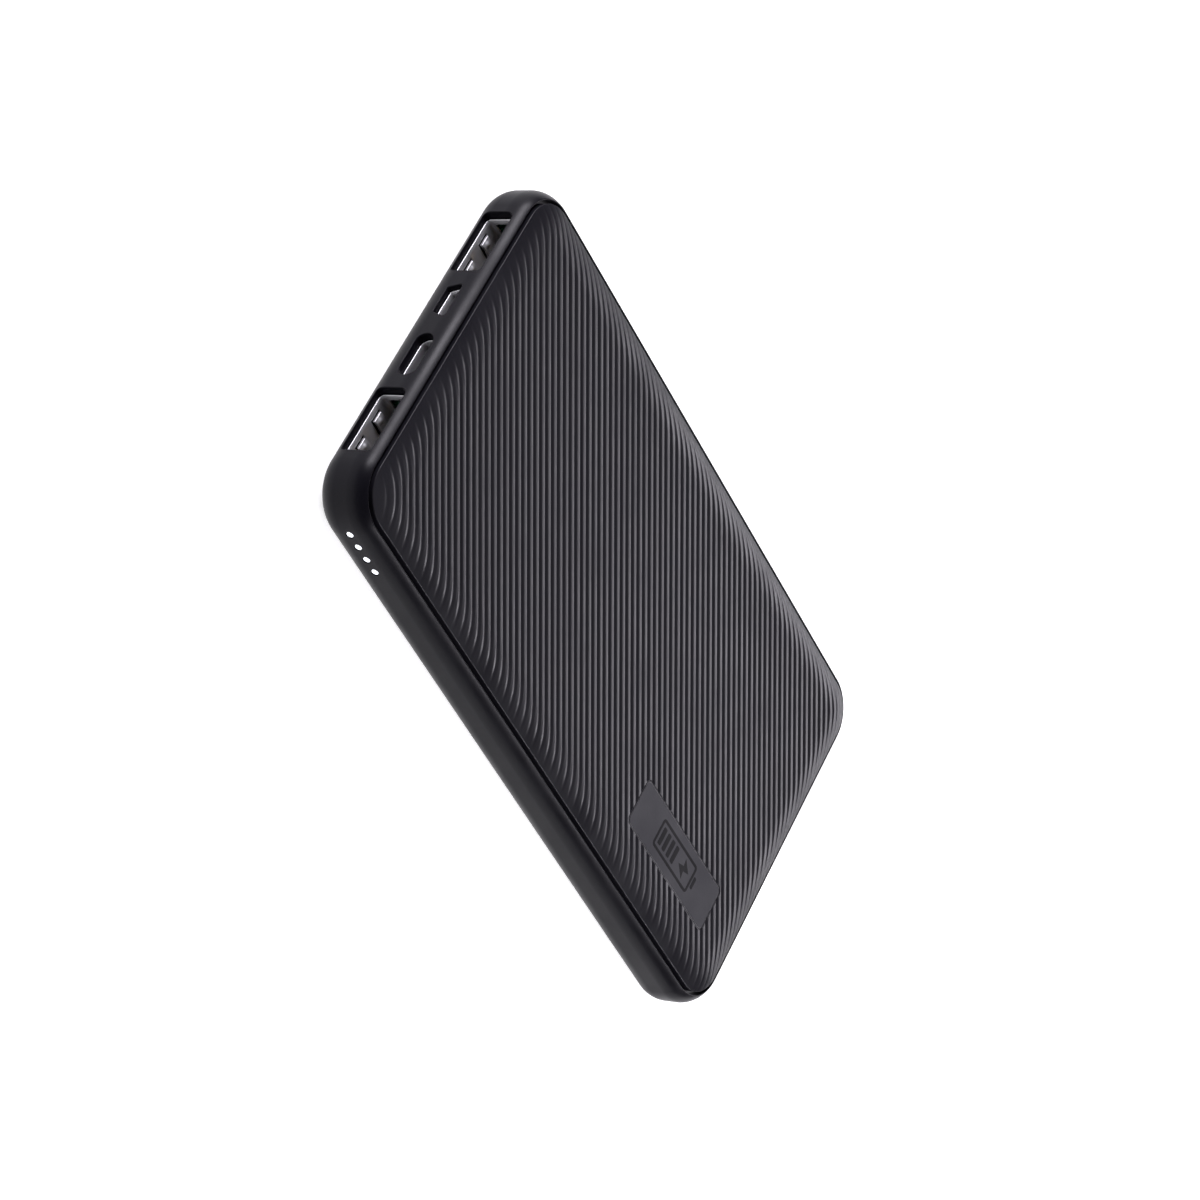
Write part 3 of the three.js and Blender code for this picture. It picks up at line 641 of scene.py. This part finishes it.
EDGE_SLOPE = math.asin((CROWN_MARGIN - COVER_EDGE) / CROWN_RADIUS)
TOP_INSET = COVER_EDGE + COVER_EDGE_ROUND * (1 - math.sin(EDGE_SLOPE))
COVER_INSIDE_DEPTHS = (COVER_EDGE + COVER_RIM, 4.5, 6.0, 7.5)
SLOPE_STEP = 0.01
EDGE_SPACING = (0, 0.4, 0.9, 1.5, 2.2, 3.0, 3.9, 4.9, 6.0, 7.2, 8.6, 10.2, 12.0)
BADGE_OFFSETS = (-1, -0.66, -0.33, 0, 0.33, 0.66, 1)


def rib_lines():
    """Values of u that follow the ribs' section, with more near the outline's two far corners."""
    half_x, half_y, radius = top_outline()
    reach = (half_x + half_y - 2 * radius) * ROOT_HALF + radius
    lines = set()
    for rib in range(-int(reach / RIB_PITCH) - 2, int(reach / RIB_PITCH) + 2):
        lines.update((rib + RIB_PHASE + sample) * RIB_PITCH for sample in RIB_SAMPLES)
    lines = {u for u in lines if abs(u) < reach - 0.6}
    for step in range(14):
        end = reach - radius * (1 - math.cos(math.radians(2 * step)))
        lines.update((end, -end))
    return sorted(lines)


def top_outline():
    return WIDTH / 2 - TOP_INSET, LENGTH / 2 - TOP_INSET, CORNER_RADIUS - TOP_INSET


def line_samples(u):
    """Sorted (v, mark) along one line; a mark names the badge outline that the sample lies on."""
    ends = chord(u, *top_outline())
    if ends is None:
        half_x, half_y, radius = top_outline()
        return [(math.copysign((half_y - half_x) * ROOT_HALF, -u), None)]
    start, end = ends
    length = end - start
    shrink = min(1, length / (2 * EDGE_SPACING[-1]))
    samples = [(start + step * shrink, None) for step in EDGE_SPACING]
    samples += [(end - step * shrink, None) for step in EDGE_SPACING]
    core = length - 2 * EDGE_SPACING[-1] * shrink
    count = int(core / 4) + 1
    samples += [(start + EDGE_SPACING[-1] * shrink + core * step / count, None) for step in range(1, count)]
    marks = []
    for place, share in enumerate(BADGE_OFFSETS):
        offset = share * BADGE_GROOVE["half_width"]
        crossing = chord(u, BADGE["half_x"] + offset, BADGE["half_y"] + offset, BADGE["radius"] + offset,
                         BADGE["x"], BADGE["y"])
        if crossing:
            marks += [(crossing[0], ("in", place)), (crossing[1], ("out", place))]
    clear = [
        sample for sample in samples
        if all(abs(sample[0] - v) > 0.12 for v, mark in marks)
    ]
    return sorted(clear + marks, key=lambda sample: sample[0])


def zip_lines(shape, first, second):
    """Triangles between two neighbouring lines of (v, vertex), from low v to high v."""
    left = right = 0
    while left < len(first) - 1 or right < len(second) - 1:
        at_left_end = left == len(first) - 1
        at_right_end = right == len(second) - 1
        if at_right_end or (not at_left_end and first[left + 1][0] <= second[right + 1][0]):
            shape.face([first[left][1], second[right][1], first[left + 1][1]])
            left += 1
        else:
            shape.face([first[left][1], second[right][1], second[right + 1][1]])
            right += 1


def split_at(line, marks):
    """Cuts a line of (v, vertex, mark) into runs that share their end samples at the given marks."""
    runs = [[]]
    for v, vertex, mark in line:
        runs[-1].append((v, vertex))
        if mark in marks:
            runs.append([(v, vertex)])
    return runs


def build_front_cover():
    shape = Shape()
    lines = []
    step = SLOPE_STEP
    for u in rib_lines():
        line = []
        for v, mark in line_samples(u):
            x, y = (u + v) * ROOT_HALF, (v - u) * ROOT_HALF
            slope_x = (ribbed_height(x + step, y) - ribbed_height(x - step, y)) / (2 * step)
            slope_y = (ribbed_height(x, y + step) - ribbed_height(x, y - step)) / (2 * step)
            size = math.sqrt(slope_x**2 + slope_y**2 + 1)
            normal = (-slope_x / size, -slope_y / size, 1 / size)
            line.append((v, shape.vertex((x, y, ribbed_height(x, y)), normal), mark))
        lines.append(line)
    for first, second in zip(lines, lines[1:]):
        shared = {mark for v, vertex, mark in first if mark} & {mark for v, vertex, mark in second if mark}
        for left, right in zip(split_at(first, shared), split_at(second, shared)):
            zip_lines(shape, left, right)
    starts = [line[0][1] for line in lines]
    ends = [line[-1][1] for line in lines]
    add_cover_edge(shape, starts, ends)
    add_clips(shape, 1)
    return shape.make("front_cover_ribbed", front_plastic)


def outline_direction(x, y):
    half_x, half_y = WIDTH / 2 - CORNER_RADIUS, LENGTH / 2 - CORNER_RADIUS
    qx, qy = abs(x) - half_x, abs(y) - half_y
    if qx > 0 and qy > 0:
        size = math.hypot(qx, qy)
        return math.copysign(qx / size, x), math.copysign(qy / size, y)
    if qx > qy:
        return math.copysign(1, x), 0.0
    return 0.0, math.copysign(1, y)


def cover_rings():
    """Rings below the cover's top surface: (move outwards, height, tilt of the normal)."""
    top = crown(TOP_INSET)
    rings = []
    for slope in spread(EDGE_SLOPE, math.pi / 2, 6)[1:]:
        out = COVER_EDGE_ROUND * (math.sin(slope) - math.sin(EDGE_SLOPE))
        drop = COVER_EDGE_ROUND * (math.cos(EDGE_SLOPE) - math.cos(slope))
        rings.append((out, top - drop, math.pi / 2 - slope))
    edge = rings[-1][0]
    rings.append((edge, COVER_FOOT, None))
    rings.append((edge - COVER_RIM, COVER_FOOT, None))
    for depth in COVER_INSIDE_DEPTHS:
        rings.append((TOP_INSET - depth, crown(depth) - COVER_THICKNESS, None))
    return rings


def add_cover_edge(shape, starts, ends):
    """The rounded edge, the rim and the inside of a cover, below its boundary of two rows."""
    count = len(starts)
    boundary = ends + list(reversed(starts))
    anchors = [shape.points[vertex] for vertex in boundary]
    directions = [outline_direction(x, y) for x, y, z in anchors]
    previous = boundary
    for out, z, tilt in cover_rings():
        ring = []
        for (x, y, height), (dx, dy) in zip(anchors, directions):
            normal = None if tilt is None else (dx * math.cos(tilt), dy * math.cos(tilt), math.sin(tilt))
            ring.append(shape.vertex((x + dx * out, y + dy * out, z), normal))
        shape.bridge(ring, previous)
        previous = ring
    upper, lower = previous[:count], list(reversed(previous[count:]))
    for place in range(count - 1):
        shape.face([upper[place], upper[place + 1], lower[place + 1], lower[place]])


# ---------------------------------------------------------------- rear cover, clips and screw bosses

CLIP = {"half_width": 3.0, "side": (-30, 10, 50), "end": (-15, 15)}
CLIP_PROFILE = ((3.0, 1.2), (3.5, 1.2), (3.7, 1.5), (3.7, 4.5), (2.9, 4.5), (2.9, 1.5))
BOSS = {"radius": 2.0, "hole": 0.85, "foot": -5.6, "bottom": -5.15, "top": -2.45, "chamfer": 0.15}
BOSS_SIDES = 32
BOSS_SPOTS = ((-30.1, -64), (30.1, -64), (-20.2, -51.2), (20.2, -51.2))


def add_clips(shape, side):
    """Snap clips under a cover's rim; side is 1 for the front cover and -1 for the rear one."""
    def on_side(direction):
        return lambda inset, z, along: (direction * (WIDTH / 2 - inset), along, z * side)

    def on_end(inset, z, along):
        return along, LENGTH / 2 - inset, z * side

    for y in CLIP["side"]:
        for direction in (1, -1):
            shape.prism(CLIP_PROFILE, on_side(direction), y - CLIP["half_width"], y + CLIP["half_width"])
    for x in CLIP["end"]:
        shape.prism(CLIP_PROFILE, on_end, x - CLIP["half_width"], x + CLIP["half_width"])


def add_boss(shape, x, y):
    """A screw boss: a round post with a blind hole in its top."""
    rings = []
    chamfer = BOSS["chamfer"]
    profile = (
        (BOSS["radius"], BOSS["foot"]),
        (BOSS["radius"], BOSS["top"] - chamfer),
        (BOSS["radius"] - chamfer, BOSS["top"]),
        (BOSS["hole"] + chamfer, BOSS["top"]),
        (BOSS["hole"], BOSS["top"] - chamfer),
        (BOSS["hole"], BOSS["bottom"]),
    )
    for radius, z in profile:
        turns = [cmath.rect(radius, 2 * math.pi * step / BOSS_SIDES) for step in range(BOSS_SIDES)]
        rings.append([shape.vertex((x + turn.real, y + turn.imag, z)) for turn in turns])
    shape.loft(rings, plain=True)
    shape.face(rings[0], plain=True)
    shape.face(list(reversed(rings[-1])), plain=True)


def build_rear_cover():
    shape = Shape()
    stations = [t for t in frame_stations() if t < PERIMETER / 2 - 1e-6]

    def ring(inset, z, tilt=None):
        return [plan_vertex(shape, t, inset, -z, None if tilt is None else -tilt) for t in stations]

    rings = []
    for depth in spread(CROWN_MARGIN - 0.01, TOP_INSET, 9):
        slope = math.asin((CROWN_MARGIN - depth) / CROWN_RADIUS)
        rings.append(ring(depth, crown(depth), math.pi / 2 - slope))
    for out, z, tilt in cover_rings():
        rings.append(ring(TOP_INSET - out, z, tilt))
    shape.loft(rings)
    shape.face(rings[0])
    shape.face(list(reversed(rings[-1])))
    add_clips(shape, -1)
    for x, y in BOSS_SPOTS:
        add_boss(shape, x, y)
    return shape.make("rear_cover_shell", rear_plastic)


# ---------------------------------------------------------------- metal shells of the ports

LEAF = {"x": 2.9, "half_width": 1.15, "slot": 0.35, "start": 1.0, "end": 7.0, "dimple": 2.3, "bend": 0.5}
LEAF_BUMP = {"radius": 0.85, "height": 0.26}
UPPER_LEAF_SHARE = 0.45
WINDOW = {"start": 0.95, "end": 4.6, "half_height": 1.5}
MOUTH_FLARE = {"reach": 0.12, "depth": 0.6}


def flare(y):
    return MOUTH_FLARE["reach"] * (1 - smooth_step(y / MOUTH_FLARE["depth"]))


def fine_outline(corners, spacing=0.3):
    """A polygon's corners with more points along its long edges."""
    points = []
    for place, end in enumerate(corners):
        start = corners[place - 1]
        count = max(1, round(math.dist(start, end) / spacing))
        points += [tuple(mix(a, b, step / count) for a, b in zip(start, end)) for step in range(count)]
    return points


def build_usb_a_shell(number, centre_x):
    """A drawn tube with four spring leaves cut into it and a window in each side."""
    shape = Shape()
    half_a, half_b, corner = USB_A["width"] / 2, USB_A["height"] / 2, USB_A["corner"]
    total = girth(half_a, half_b, corner)
    leaves = {LEAF["x"]: 1, -LEAF["x"]: 1, total / 2 - LEAF["x"]: UPPER_LEAF_SHARE,
              LEAF["x"] - total / 2: UPPER_LEAF_SHARE}

    def bend(t, y):
        """How far a spring leaf stands inwards of its wall."""
        for centre, share in leaves.items():
            across = abs(t - centre)
            if across < LEAF["half_width"] + 0.01 and LEAF["start"] + LEAF["slot"] - 0.01 < y < LEAF["end"]:
                rise = smooth_step((LEAF["end"] - y) / (LEAF["end"] - LEAF["dimple"]))
                tip = smooth_step((LEAF["dimple"] - y) / 1.2) * 0.5
                near = min(math.hypot(across, y - LEAF["dimple"]) / LEAF_BUMP["radius"], 1)
                bump = LEAF_BUMP["height"] * math.cos(near * math.pi / 2) ** 2
                return share * (LEAF["bend"] * (rise - tip) + bump)
        return 0.0

    def wall_point(t, y, depth):
        point, outward = around(t, half_a, half_b, corner)
        point += outward * (flare(y) - bend(t, y) - depth)
        return centre_x + point.real, END_FACE + USB_A["mouth"] + y, USB_A["z"] + point.imag

    def wall_vertex(t, y, depth):
        step = SLOPE_STEP
        sideways = Vector(wall_point(t + step, y, depth)) - Vector(wall_point(t - step, y, depth))
        inwards = Vector(wall_point(t, y + step, depth)) - Vector(wall_point(t, y - step, depth))
        normal = inwards.cross(sideways).normalized()
        outward = around(t, half_a, half_b, corner)[1]
        facing = normal.x * outward.real + normal.z * outward.imag
        if (facing > 0) == (depth > 0):
            normal = -normal
        return shape.vertex(wall_point(t, y, depth), tuple(normal))

    wide, slot, start, end = LEAF["half_width"], LEAF["slot"], LEAF["start"], LEAF["end"]
    slots = []
    for centre in leaves:
        corners = [(-wide - slot, start), (wide + slot, start), (wide + slot, end), (wide, end),
                   (wide, start + slot), (-wide, start + slot), (-wide, end), (-wide - slot, end)]
        slots.append([(centre + t, y) for t, y in fine_outline(corners)])
    for centre in (total / 4, -total / 4):
        high, y0, y1 = WINDOW["half_height"], WINDOW["start"], WINDOW["end"]
        corners = [(-high, y0), (high, y0), (high, y1), (-high, y1)]
        slots.append([(centre + t, y) for t, y in fine_outline(corners)])
    columns = spread(-total / 2, total / 2, 92)
    rows = [0.15, 0.3, 0.45, 0.6] + spread(0.9, 3.9, 14) + spread(4.3, 7.9, 8) + [9.5, 11.5, USB_A["length"]]
    triangles = fill_with_holes(columns, rows, slots, 0.1)
    for depth in (0, PORT_WALL):
        for triangle in triangles:
            shape.face([wall_vertex(t, y, depth) for t, y in triangle])
    for outline in slots:
        edges = [[wall_vertex(t, y, depth) for t, y in outline] for depth in (0, PORT_WALL)]
        shape.bridge(*edges, plain=True)
    rim = []
    for turn in spread(0, math.pi, 6):
        depth = PORT_WALL / 2 * (1 - math.cos(turn))
        y = PORT_WALL / 2 * (1 - math.sin(turn))
        around_rim = [wall_vertex(t, rows[0], depth) for t in columns[:-1]]
        if 0 < turn < math.pi - 1e-6:
            around_rim = []
            for t in columns[:-1]:
                x, place, z = wall_point(t, rows[0], depth)
                outward = around(t, half_a, half_b, corner)[1] * math.cos(turn)
                normal = (outward.real, -math.sin(turn), outward.imag)
                around_rim.append(shape.vertex((x, place + y - rows[0], z), normal))
        rim.append(around_rim)
    shape.loft(rim)
    back = [[wall_vertex(t, rows[-1], depth) for t in columns[:-1]] for depth in (0, PORT_WALL)]
    shape.bridge(*back, plain=True)
    return shape.make(f"usb_a_shell_{number}", port_steel)


def build_drawn_shell(name, port, outline, lip):
    """A drawn tube round an outline, closed at the back, with a lip round its mouth."""
    shape = Shape()
    mouth = END_FACE + port["mouth"]
    half_wall = PORT_WALL / 2
    steps = [(0, port["length"])]
    steps += [(lip * (1 - smooth_step(y / 0.6)), y) for y in (0.7, 0.5, 0.35, 0.25)]
    for turn in spread(0, math.pi, 6):
        steps.append((lip - half_wall * (1 - math.cos(turn)), half_wall * (1 - math.sin(turn))))
    steps += [(lip * (1 - smooth_step(y / 0.6)) - PORT_WALL, y) for y in (0.25, 0.35, 0.5, 0.7)]
    steps.append((-PORT_WALL, port["length"] - PORT_WALL))
    rings = []
    for offset, y in steps:
        ring = grown(outline, offset)
        rings.append([shape.vertex((port["x"] + a, mouth + y, port["z"] + b)) for a, b in ring])
    shape.loft(rings)
    shape.face(rings[0], plain=True)
    shape.face(list(reversed(rings[-1])), plain=True)
    return shape.make(name, port_steel, 50)


# ---------------------------------------------------------------- pictogram on the badge

PICTOGRAM_TOP = HALF_THICKNESS - 0.015
PICTOGRAM_FOOT = HALF_THICKNESS - 0.15
PLATE_TOP = HALF_THICKNESS - 0.035
BATTERY = {"half_length": 7.2, "half_width": 2.9, "radius": 0.8, "line": 0.55}
BAR = {"count": 4, "width": 1.1, "pitch": 1.75, "gap": 0.6}
POLE = {"gap": 0.3, "end": 1.1, "half_width": 1.2}
BAR_CORNER = 0.25
BOLT_PLACE = {"centre": 3.7, "length": 2.1, "width": 1.7}
PLATE_CHAMFER = 0.04
BOLT = ((0.9, 0.1), (-0.25, 1.05), (-0.1, 0.25), (-0.9, -0.1), (0.25, -1.05), (0.1, -0.25))


def build_pictogram():
    """A battery outline with its pole, four bars and a small bolt, raised a hair above the badge."""
    shape = Shape()

    def on_badge(a, b, height):
        return BADGE["x"] - b, BADGE["y"] + a, height

    def plate(profile):
        shape.prism(profile, on_badge, PICTOGRAM_FOOT, PICTOGRAM_TOP)

    def bar(a0, a1, b0, b1):
        half_a, half_b = (a1 - a0) / 2, (b1 - b0) / 2
        outline = rounded_polygon(rectangle(half_a, half_b), BAR_CORNER, 5, 1)
        plate([(a + (a0 + a1) / 2, b + (b0 + b1) / 2) for a, b, na, nb in outline])

    length, width, line = BATTERY["half_length"], BATTERY["half_width"], BATTERY["line"]
    outer = rounded_polygon(rectangle(length, width), BATTERY["radius"], 6, 1)
    rings = []
    foot, top = PICTOGRAM_FOOT, PICTOGRAM_TOP
    for offset, height in ((0, foot), (0, top), (-line, top), (-line, foot)):
        rings.append([shape.vertex(on_badge(a, b, height)) for a, b in grown(outer, offset)])
    shape.loft(rings + rings[:1], plain=True)
    bar(length + POLE["gap"], length + POLE["end"], -POLE["half_width"], POLE["half_width"])
    for place in range(BAR["count"]):
        start = -length + line + BAR["gap"] + place * BAR["pitch"]
        bar(start, start + BAR["width"], line + BAR["gap"] - width, width - line - BAR["gap"])
    bolt_length, bolt_width = BOLT_PLACE["length"], BOLT_PLACE["width"]
    plate([(BOLT_PLACE["centre"] + a * bolt_length, b * bolt_width) for a, b in BOLT])
    return shape.make("cover_pictogram", print_ink)


def build_badge_plate():
    """The badge's smooth plate, lying in the shallow recess of the ribbed cover."""
    shape = Shape()
    half_x, half_y = (BADGE[side] - BADGE_GROOVE["half_width"] for side in ("half_x", "half_y"))
    outline = rounded_polygon(rectangle(half_x, half_y), BADGE["radius"] - BADGE_GROOVE["half_width"], 8, 1)
    rings = []
    steps = ((0, PICTOGRAM_FOOT), (0, PLATE_TOP - PLATE_CHAMFER), (PLATE_CHAMFER, PLATE_TOP))
    for inset, height in steps:
        edge = grown(outline, -inset)
        rings.append([shape.vertex((BADGE["x"] + a, BADGE["y"] + b, height)) for a, b in edge])
    shape.loft(rings, plain=True)
    shape.face(rings[0], plain=True)
    shape.face(list(reversed(rings[-1])), plain=True)
    return shape.make("badge_plate", badge_plastic)


# ---------------------------------------------------------------- pieces on their bodies

def install(piece, body, slot, *nodes):
    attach(piece, body)
    if nodes:
        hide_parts(*nodes)


install(build_frame(), "housing", "frame_plastic", "middle_frame")
install(build_front_cover(), "housing", "front_cover_plastic", "front_cover")
install(build_rear_cover(), "housing", "rear_cover_plastic", "rear_cover")
for port_number, port_x in ((1, -USB_A["x"]), (2, USB_A["x"])):
    shell = build_usb_a_shell(port_number, port_x)
    install(shell, "housing", "port_steel", f"usb_a_port_{port_number}_shell")
usb_c_sides = rectangle(USB_C["width"] / 2, USB_C["height"] / 2)
usb_c_outline = rounded_polygon(usb_c_sides, USB_C["height"] / 2 * FULL_ROUND, 12, 8)
usb_c_shell = build_drawn_shell("usb_c_shell", USB_C, usb_c_outline, SHELL_LIP["usb_c"])
install(usb_c_shell, "housing", "port_steel", "usb_c_port_shell")
micro_sides = rectangle(MICRO["width"] / 2, MICRO["height"] / 2, MICRO["taper"])
micro_outline = rounded_polygon(micro_sides, MICRO_CORNER, 6, 6)
micro_shell = build_drawn_shell("micro_usb_shell", MICRO, micro_outline, SHELL_LIP["micro"])
install(micro_shell, "housing", "port_steel", "micro_usb_port_shell")
install(build_badge_plate(), "housing", "front_cover_plastic")
install(build_pictogram(), "housing", "front_cover_plastic")

# ---------------------------------------------------------------- finer edges and finishes on the CAD pieces

lens_plastic = surface("lit_lens_plastic", (0.9, 0.93, 1.0), 0.25, variation=0.02, bump=0.000002)
lens_shader = lens_plastic.node_tree.nodes["Principled BSDF"]
lens_shader.inputs["Emission Color"].default_value = (0.93, 0.96, 1, 1)
lens_shader.inputs["Emission Strength"].default_value = 1.05


def nickel(name, roughness):
    return surface(name, (0.6, 0.58, 0.53), roughness, metallic=1.0, brushed=(0.2, 1, 1))


def foil(name, colour, roughness):
    return surface(name, colour, roughness, metallic=0.9, variation=0.06, bump=0.00006, grain=420)


ferrite = surface("ferrite", (0.07, 0.07, 0.075), 0.6, variation=0.3, grain=1800, bump=0.00004)
sprung_steel = surface("sprung_steel", (0.62, 0.62, 0.64), 0.25, metallic=1.0, brushed=(1, 0.15, 1))
foam = surface("closed_cell_foam", (0.05, 0.05, 0.055), 0.95, variation=0.3, grain=2600, bump=0.00012)

# Name start: material and edge rounding in millimetres. The first match counts.
NODE_FINISHES = (
    ("power_button", surface("button_plastic", (0.0075, 0.0072, 0.0095), 0.4, specular=0.18), 0.25),
    ("light_guide", lens_plastic, 0.1),
    ("charge_led", surface("led_body", (0.85, 0.84, 0.68), 0.35, variation=0.05), 0.06),
    ("main_board", surface("solder_mask_green", (0.012, 0.085, 0.04), 0.32, variation=0.25, coat=0.3), 0.06),
    ("protection_board", surface("solder_mask_black", (0.012, 0.03, 0.022), 0.35, variation=0.2), 0.05),
    ("board_screw", surface("zinc_steel", (0.5, 0.5, 0.52), 0.3, metallic=1.0, grain=2500), 0.08),
    ("charge_controller", surface("chip_epoxy", (0.018, 0.018, 0.02), 0.55, variation=0.2), 0.08),
    ("power_transistor", surface("transistor_epoxy", (0.022, 0.022, 0.024), 0.5, variation=0.2), 0.08),
    ("capacitor", surface("fired_ceramic", (0.36, 0.23, 0.13), 0.45, variation=0.15), 0.06),
    ("power_inductor", ferrite, 0.15),
    ("switch_dome", sprung_steel, 0.03),
    ("switch_cover", surface("stamped_steel", (0.55, 0.55, 0.57), 0.34, metallic=1.0), 0.04),
    ("switch", surface("switch_plastic", (0.03, 0.03, 0.032), 0.5), 0.05),
    ("front_cell_tab", nickel("nickel_strip", 0.3), 0.02),
    ("rear_cell_tab", nickel("nickel_strip_rear", 0.32), 0.02),
    ("front_cell", foil("pouch_foil", (0.56, 0.57, 0.59), 0.36), 0.5),
    ("rear_cell", foil("pouch_foil_rear", (0.55, 0.56, 0.58), 0.38), 0.5),
    ("cell_tape", surface("polyimide_tape", (0.62, 0.33, 0.04), 0.25, variation=0.12, coat=0.4), 0.02),
    ("end_foam", foam, 0.2),
    ("battery_lead_positive", surface("red_silicone", (0.42, 0.018, 0.018), 0.45, variation=0.08), 0.1),
    ("battery_lead_negative", surface("black_silicone", (0.014, 0.014, 0.015), 0.45, variation=0.1), 0.1),
)
contact_gold = surface(
    "gold_plate", (0.83, 0.6, 0.24), 0.22, metallic=1.0, variation=0.05, brushed=(1, 0.1, 1))
tongue_plastic = surface("tongue_plastic", (0.016, 0.016, 0.018), 0.5, specular=0.35)


def node_finish(name):
    if "contact" in name:
        return contact_gold, 0.05
    if name.endswith("tongue"):
        return tongue_plastic, 0.12
    for start, material, edge in NODE_FINISHES:
        if name.startswith(start):
            return material, edge
    return None


for node_name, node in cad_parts.items():
    found = node_finish(node_name)
    if not found:
        continue
    node.data.materials.clear()
    node.data.materials.append(found[0])
    edge_round = node.modifiers.new("rounded_edges", "BEVEL")
    edge_round.width = found[1] * MM
    edge_round.segments = 3
    edge_round.limit_method = "ANGLE"
    edge_round.angle_limit = math.radians(50)
    edge_round.harden_normals = True
    node.data.polygons.foreach_set("use_smooth", [True] * len(node.data.polygons))

# ---------------------------------------------------------------- floor, light and camera

FLOOR_SIZE = 8
FLOOR_DROP = 0.00002
bpy.ops.mesh.primitive_plane_add(size=FLOOR_SIZE, location=(0, 0, -FLOOR_DROP))
floor = bpy.context.object
floor.name = "studio_floor"
floor_paper = surface("floor_paper", (0.8, 0.8, 0.8), 0.9, specular=0.2, variation=0.005)
floor_shader = floor_paper.node_tree.nodes["Principled BSDF"]
floor_shader.inputs["Emission Color"].default_value = (1, 1, 1, 1)
floor_shader.inputs["Emission Strength"].default_value = 0.7
floor.data.materials.append(floor_paper)

LIGHT_COLOUR = (0.955, 0.925, 1.0)


def area_light(name, azimuth, elevation, distance, size, power, aim=(0, 0, 0.006)):
    """A panel of light in metres and watts, at a direction and distance from what it aims at."""
    light = bpy.data.lights.new(name, "AREA")
    light.shape = "RECTANGLE"
    light.size, light.size_y = size
    light.energy = power
    light.color = LIGHT_COLOUR
    lamp = bpy.data.objects.new(name, light)
    bpy.context.scene.collection.objects.link(lamp)
    turn, rise = math.radians(azimuth), math.radians(elevation)
    back = Vector((math.sin(turn) * math.cos(rise), -math.cos(turn) * math.cos(rise), math.sin(rise)))
    lamp.location = Vector(aim) + back * distance
    lamp.rotation_euler = (-back).to_track_quat("-Z", "Y").to_euler()


area_light("key_far_side", -141, 27, 0.48, (0.34, 0.22), 1.45, (-0.035, 0.035, 0.012))
area_light("port_end_light", -36, 18, 0.8, (0.45, 0.19), 8)
area_light("far_right_rim", 139, 34, 0.8, (0.5, 0.1), 4.5)
area_light("top_fill", 0, 88, 1.3, (1.2, 1.2), 2.2)

world = bpy.data.worlds.new("studio_world")
bpy.context.scene.world = world
world.use_nodes = True
world.node_tree.nodes["Background"].inputs["Color"].default_value = (0.95, 0.92, 1, 1)
world.node_tree.nodes["Background"].inputs["Strength"].default_value = 0.08
bpy.context.scene.view_settings.view_transform = "Standard"

# Angles in degrees, lengths in millimetres, the aim from the middle of the object.
CAMERA = {"azimuth": 39.156, "elevation": 35.597, "roll": 93.56, "distance": 719.97, "lens": 124.14}
CAMERA_AIM = (-0.998, -1.325, -0.556)


def make_camera():
    data = bpy.data.cameras.new("camera")
    data.lens = CAMERA["lens"]
    data.sensor_width = 36
    data.clip_start, data.clip_end = 0.05, 20
    camera = bpy.data.objects.new("camera", data)
    bpy.context.scene.collection.objects.link(camera)
    turn, rise = math.radians(CAMERA["azimuth"]), math.radians(CAMERA["elevation"])
    back = Vector((math.sin(turn) * math.cos(rise), -math.cos(turn) * math.cos(rise), math.sin(rise)))
    x, y, z = CAMERA_AIM
    aim = Vector((x * MM, y * MM, (z + HALF_THICKNESS) * MM))
    camera.location = aim + back * CAMERA["distance"] * MM
    camera.rotation_mode = "QUATERNION"
    roll = Quaternion((0, 0, 1), math.radians(CAMERA["roll"]))
    camera.rotation_quaternion = (-back).to_track_quat("-Z", "Y") @ roll
    bpy.context.scene.camera = camera


make_camera()
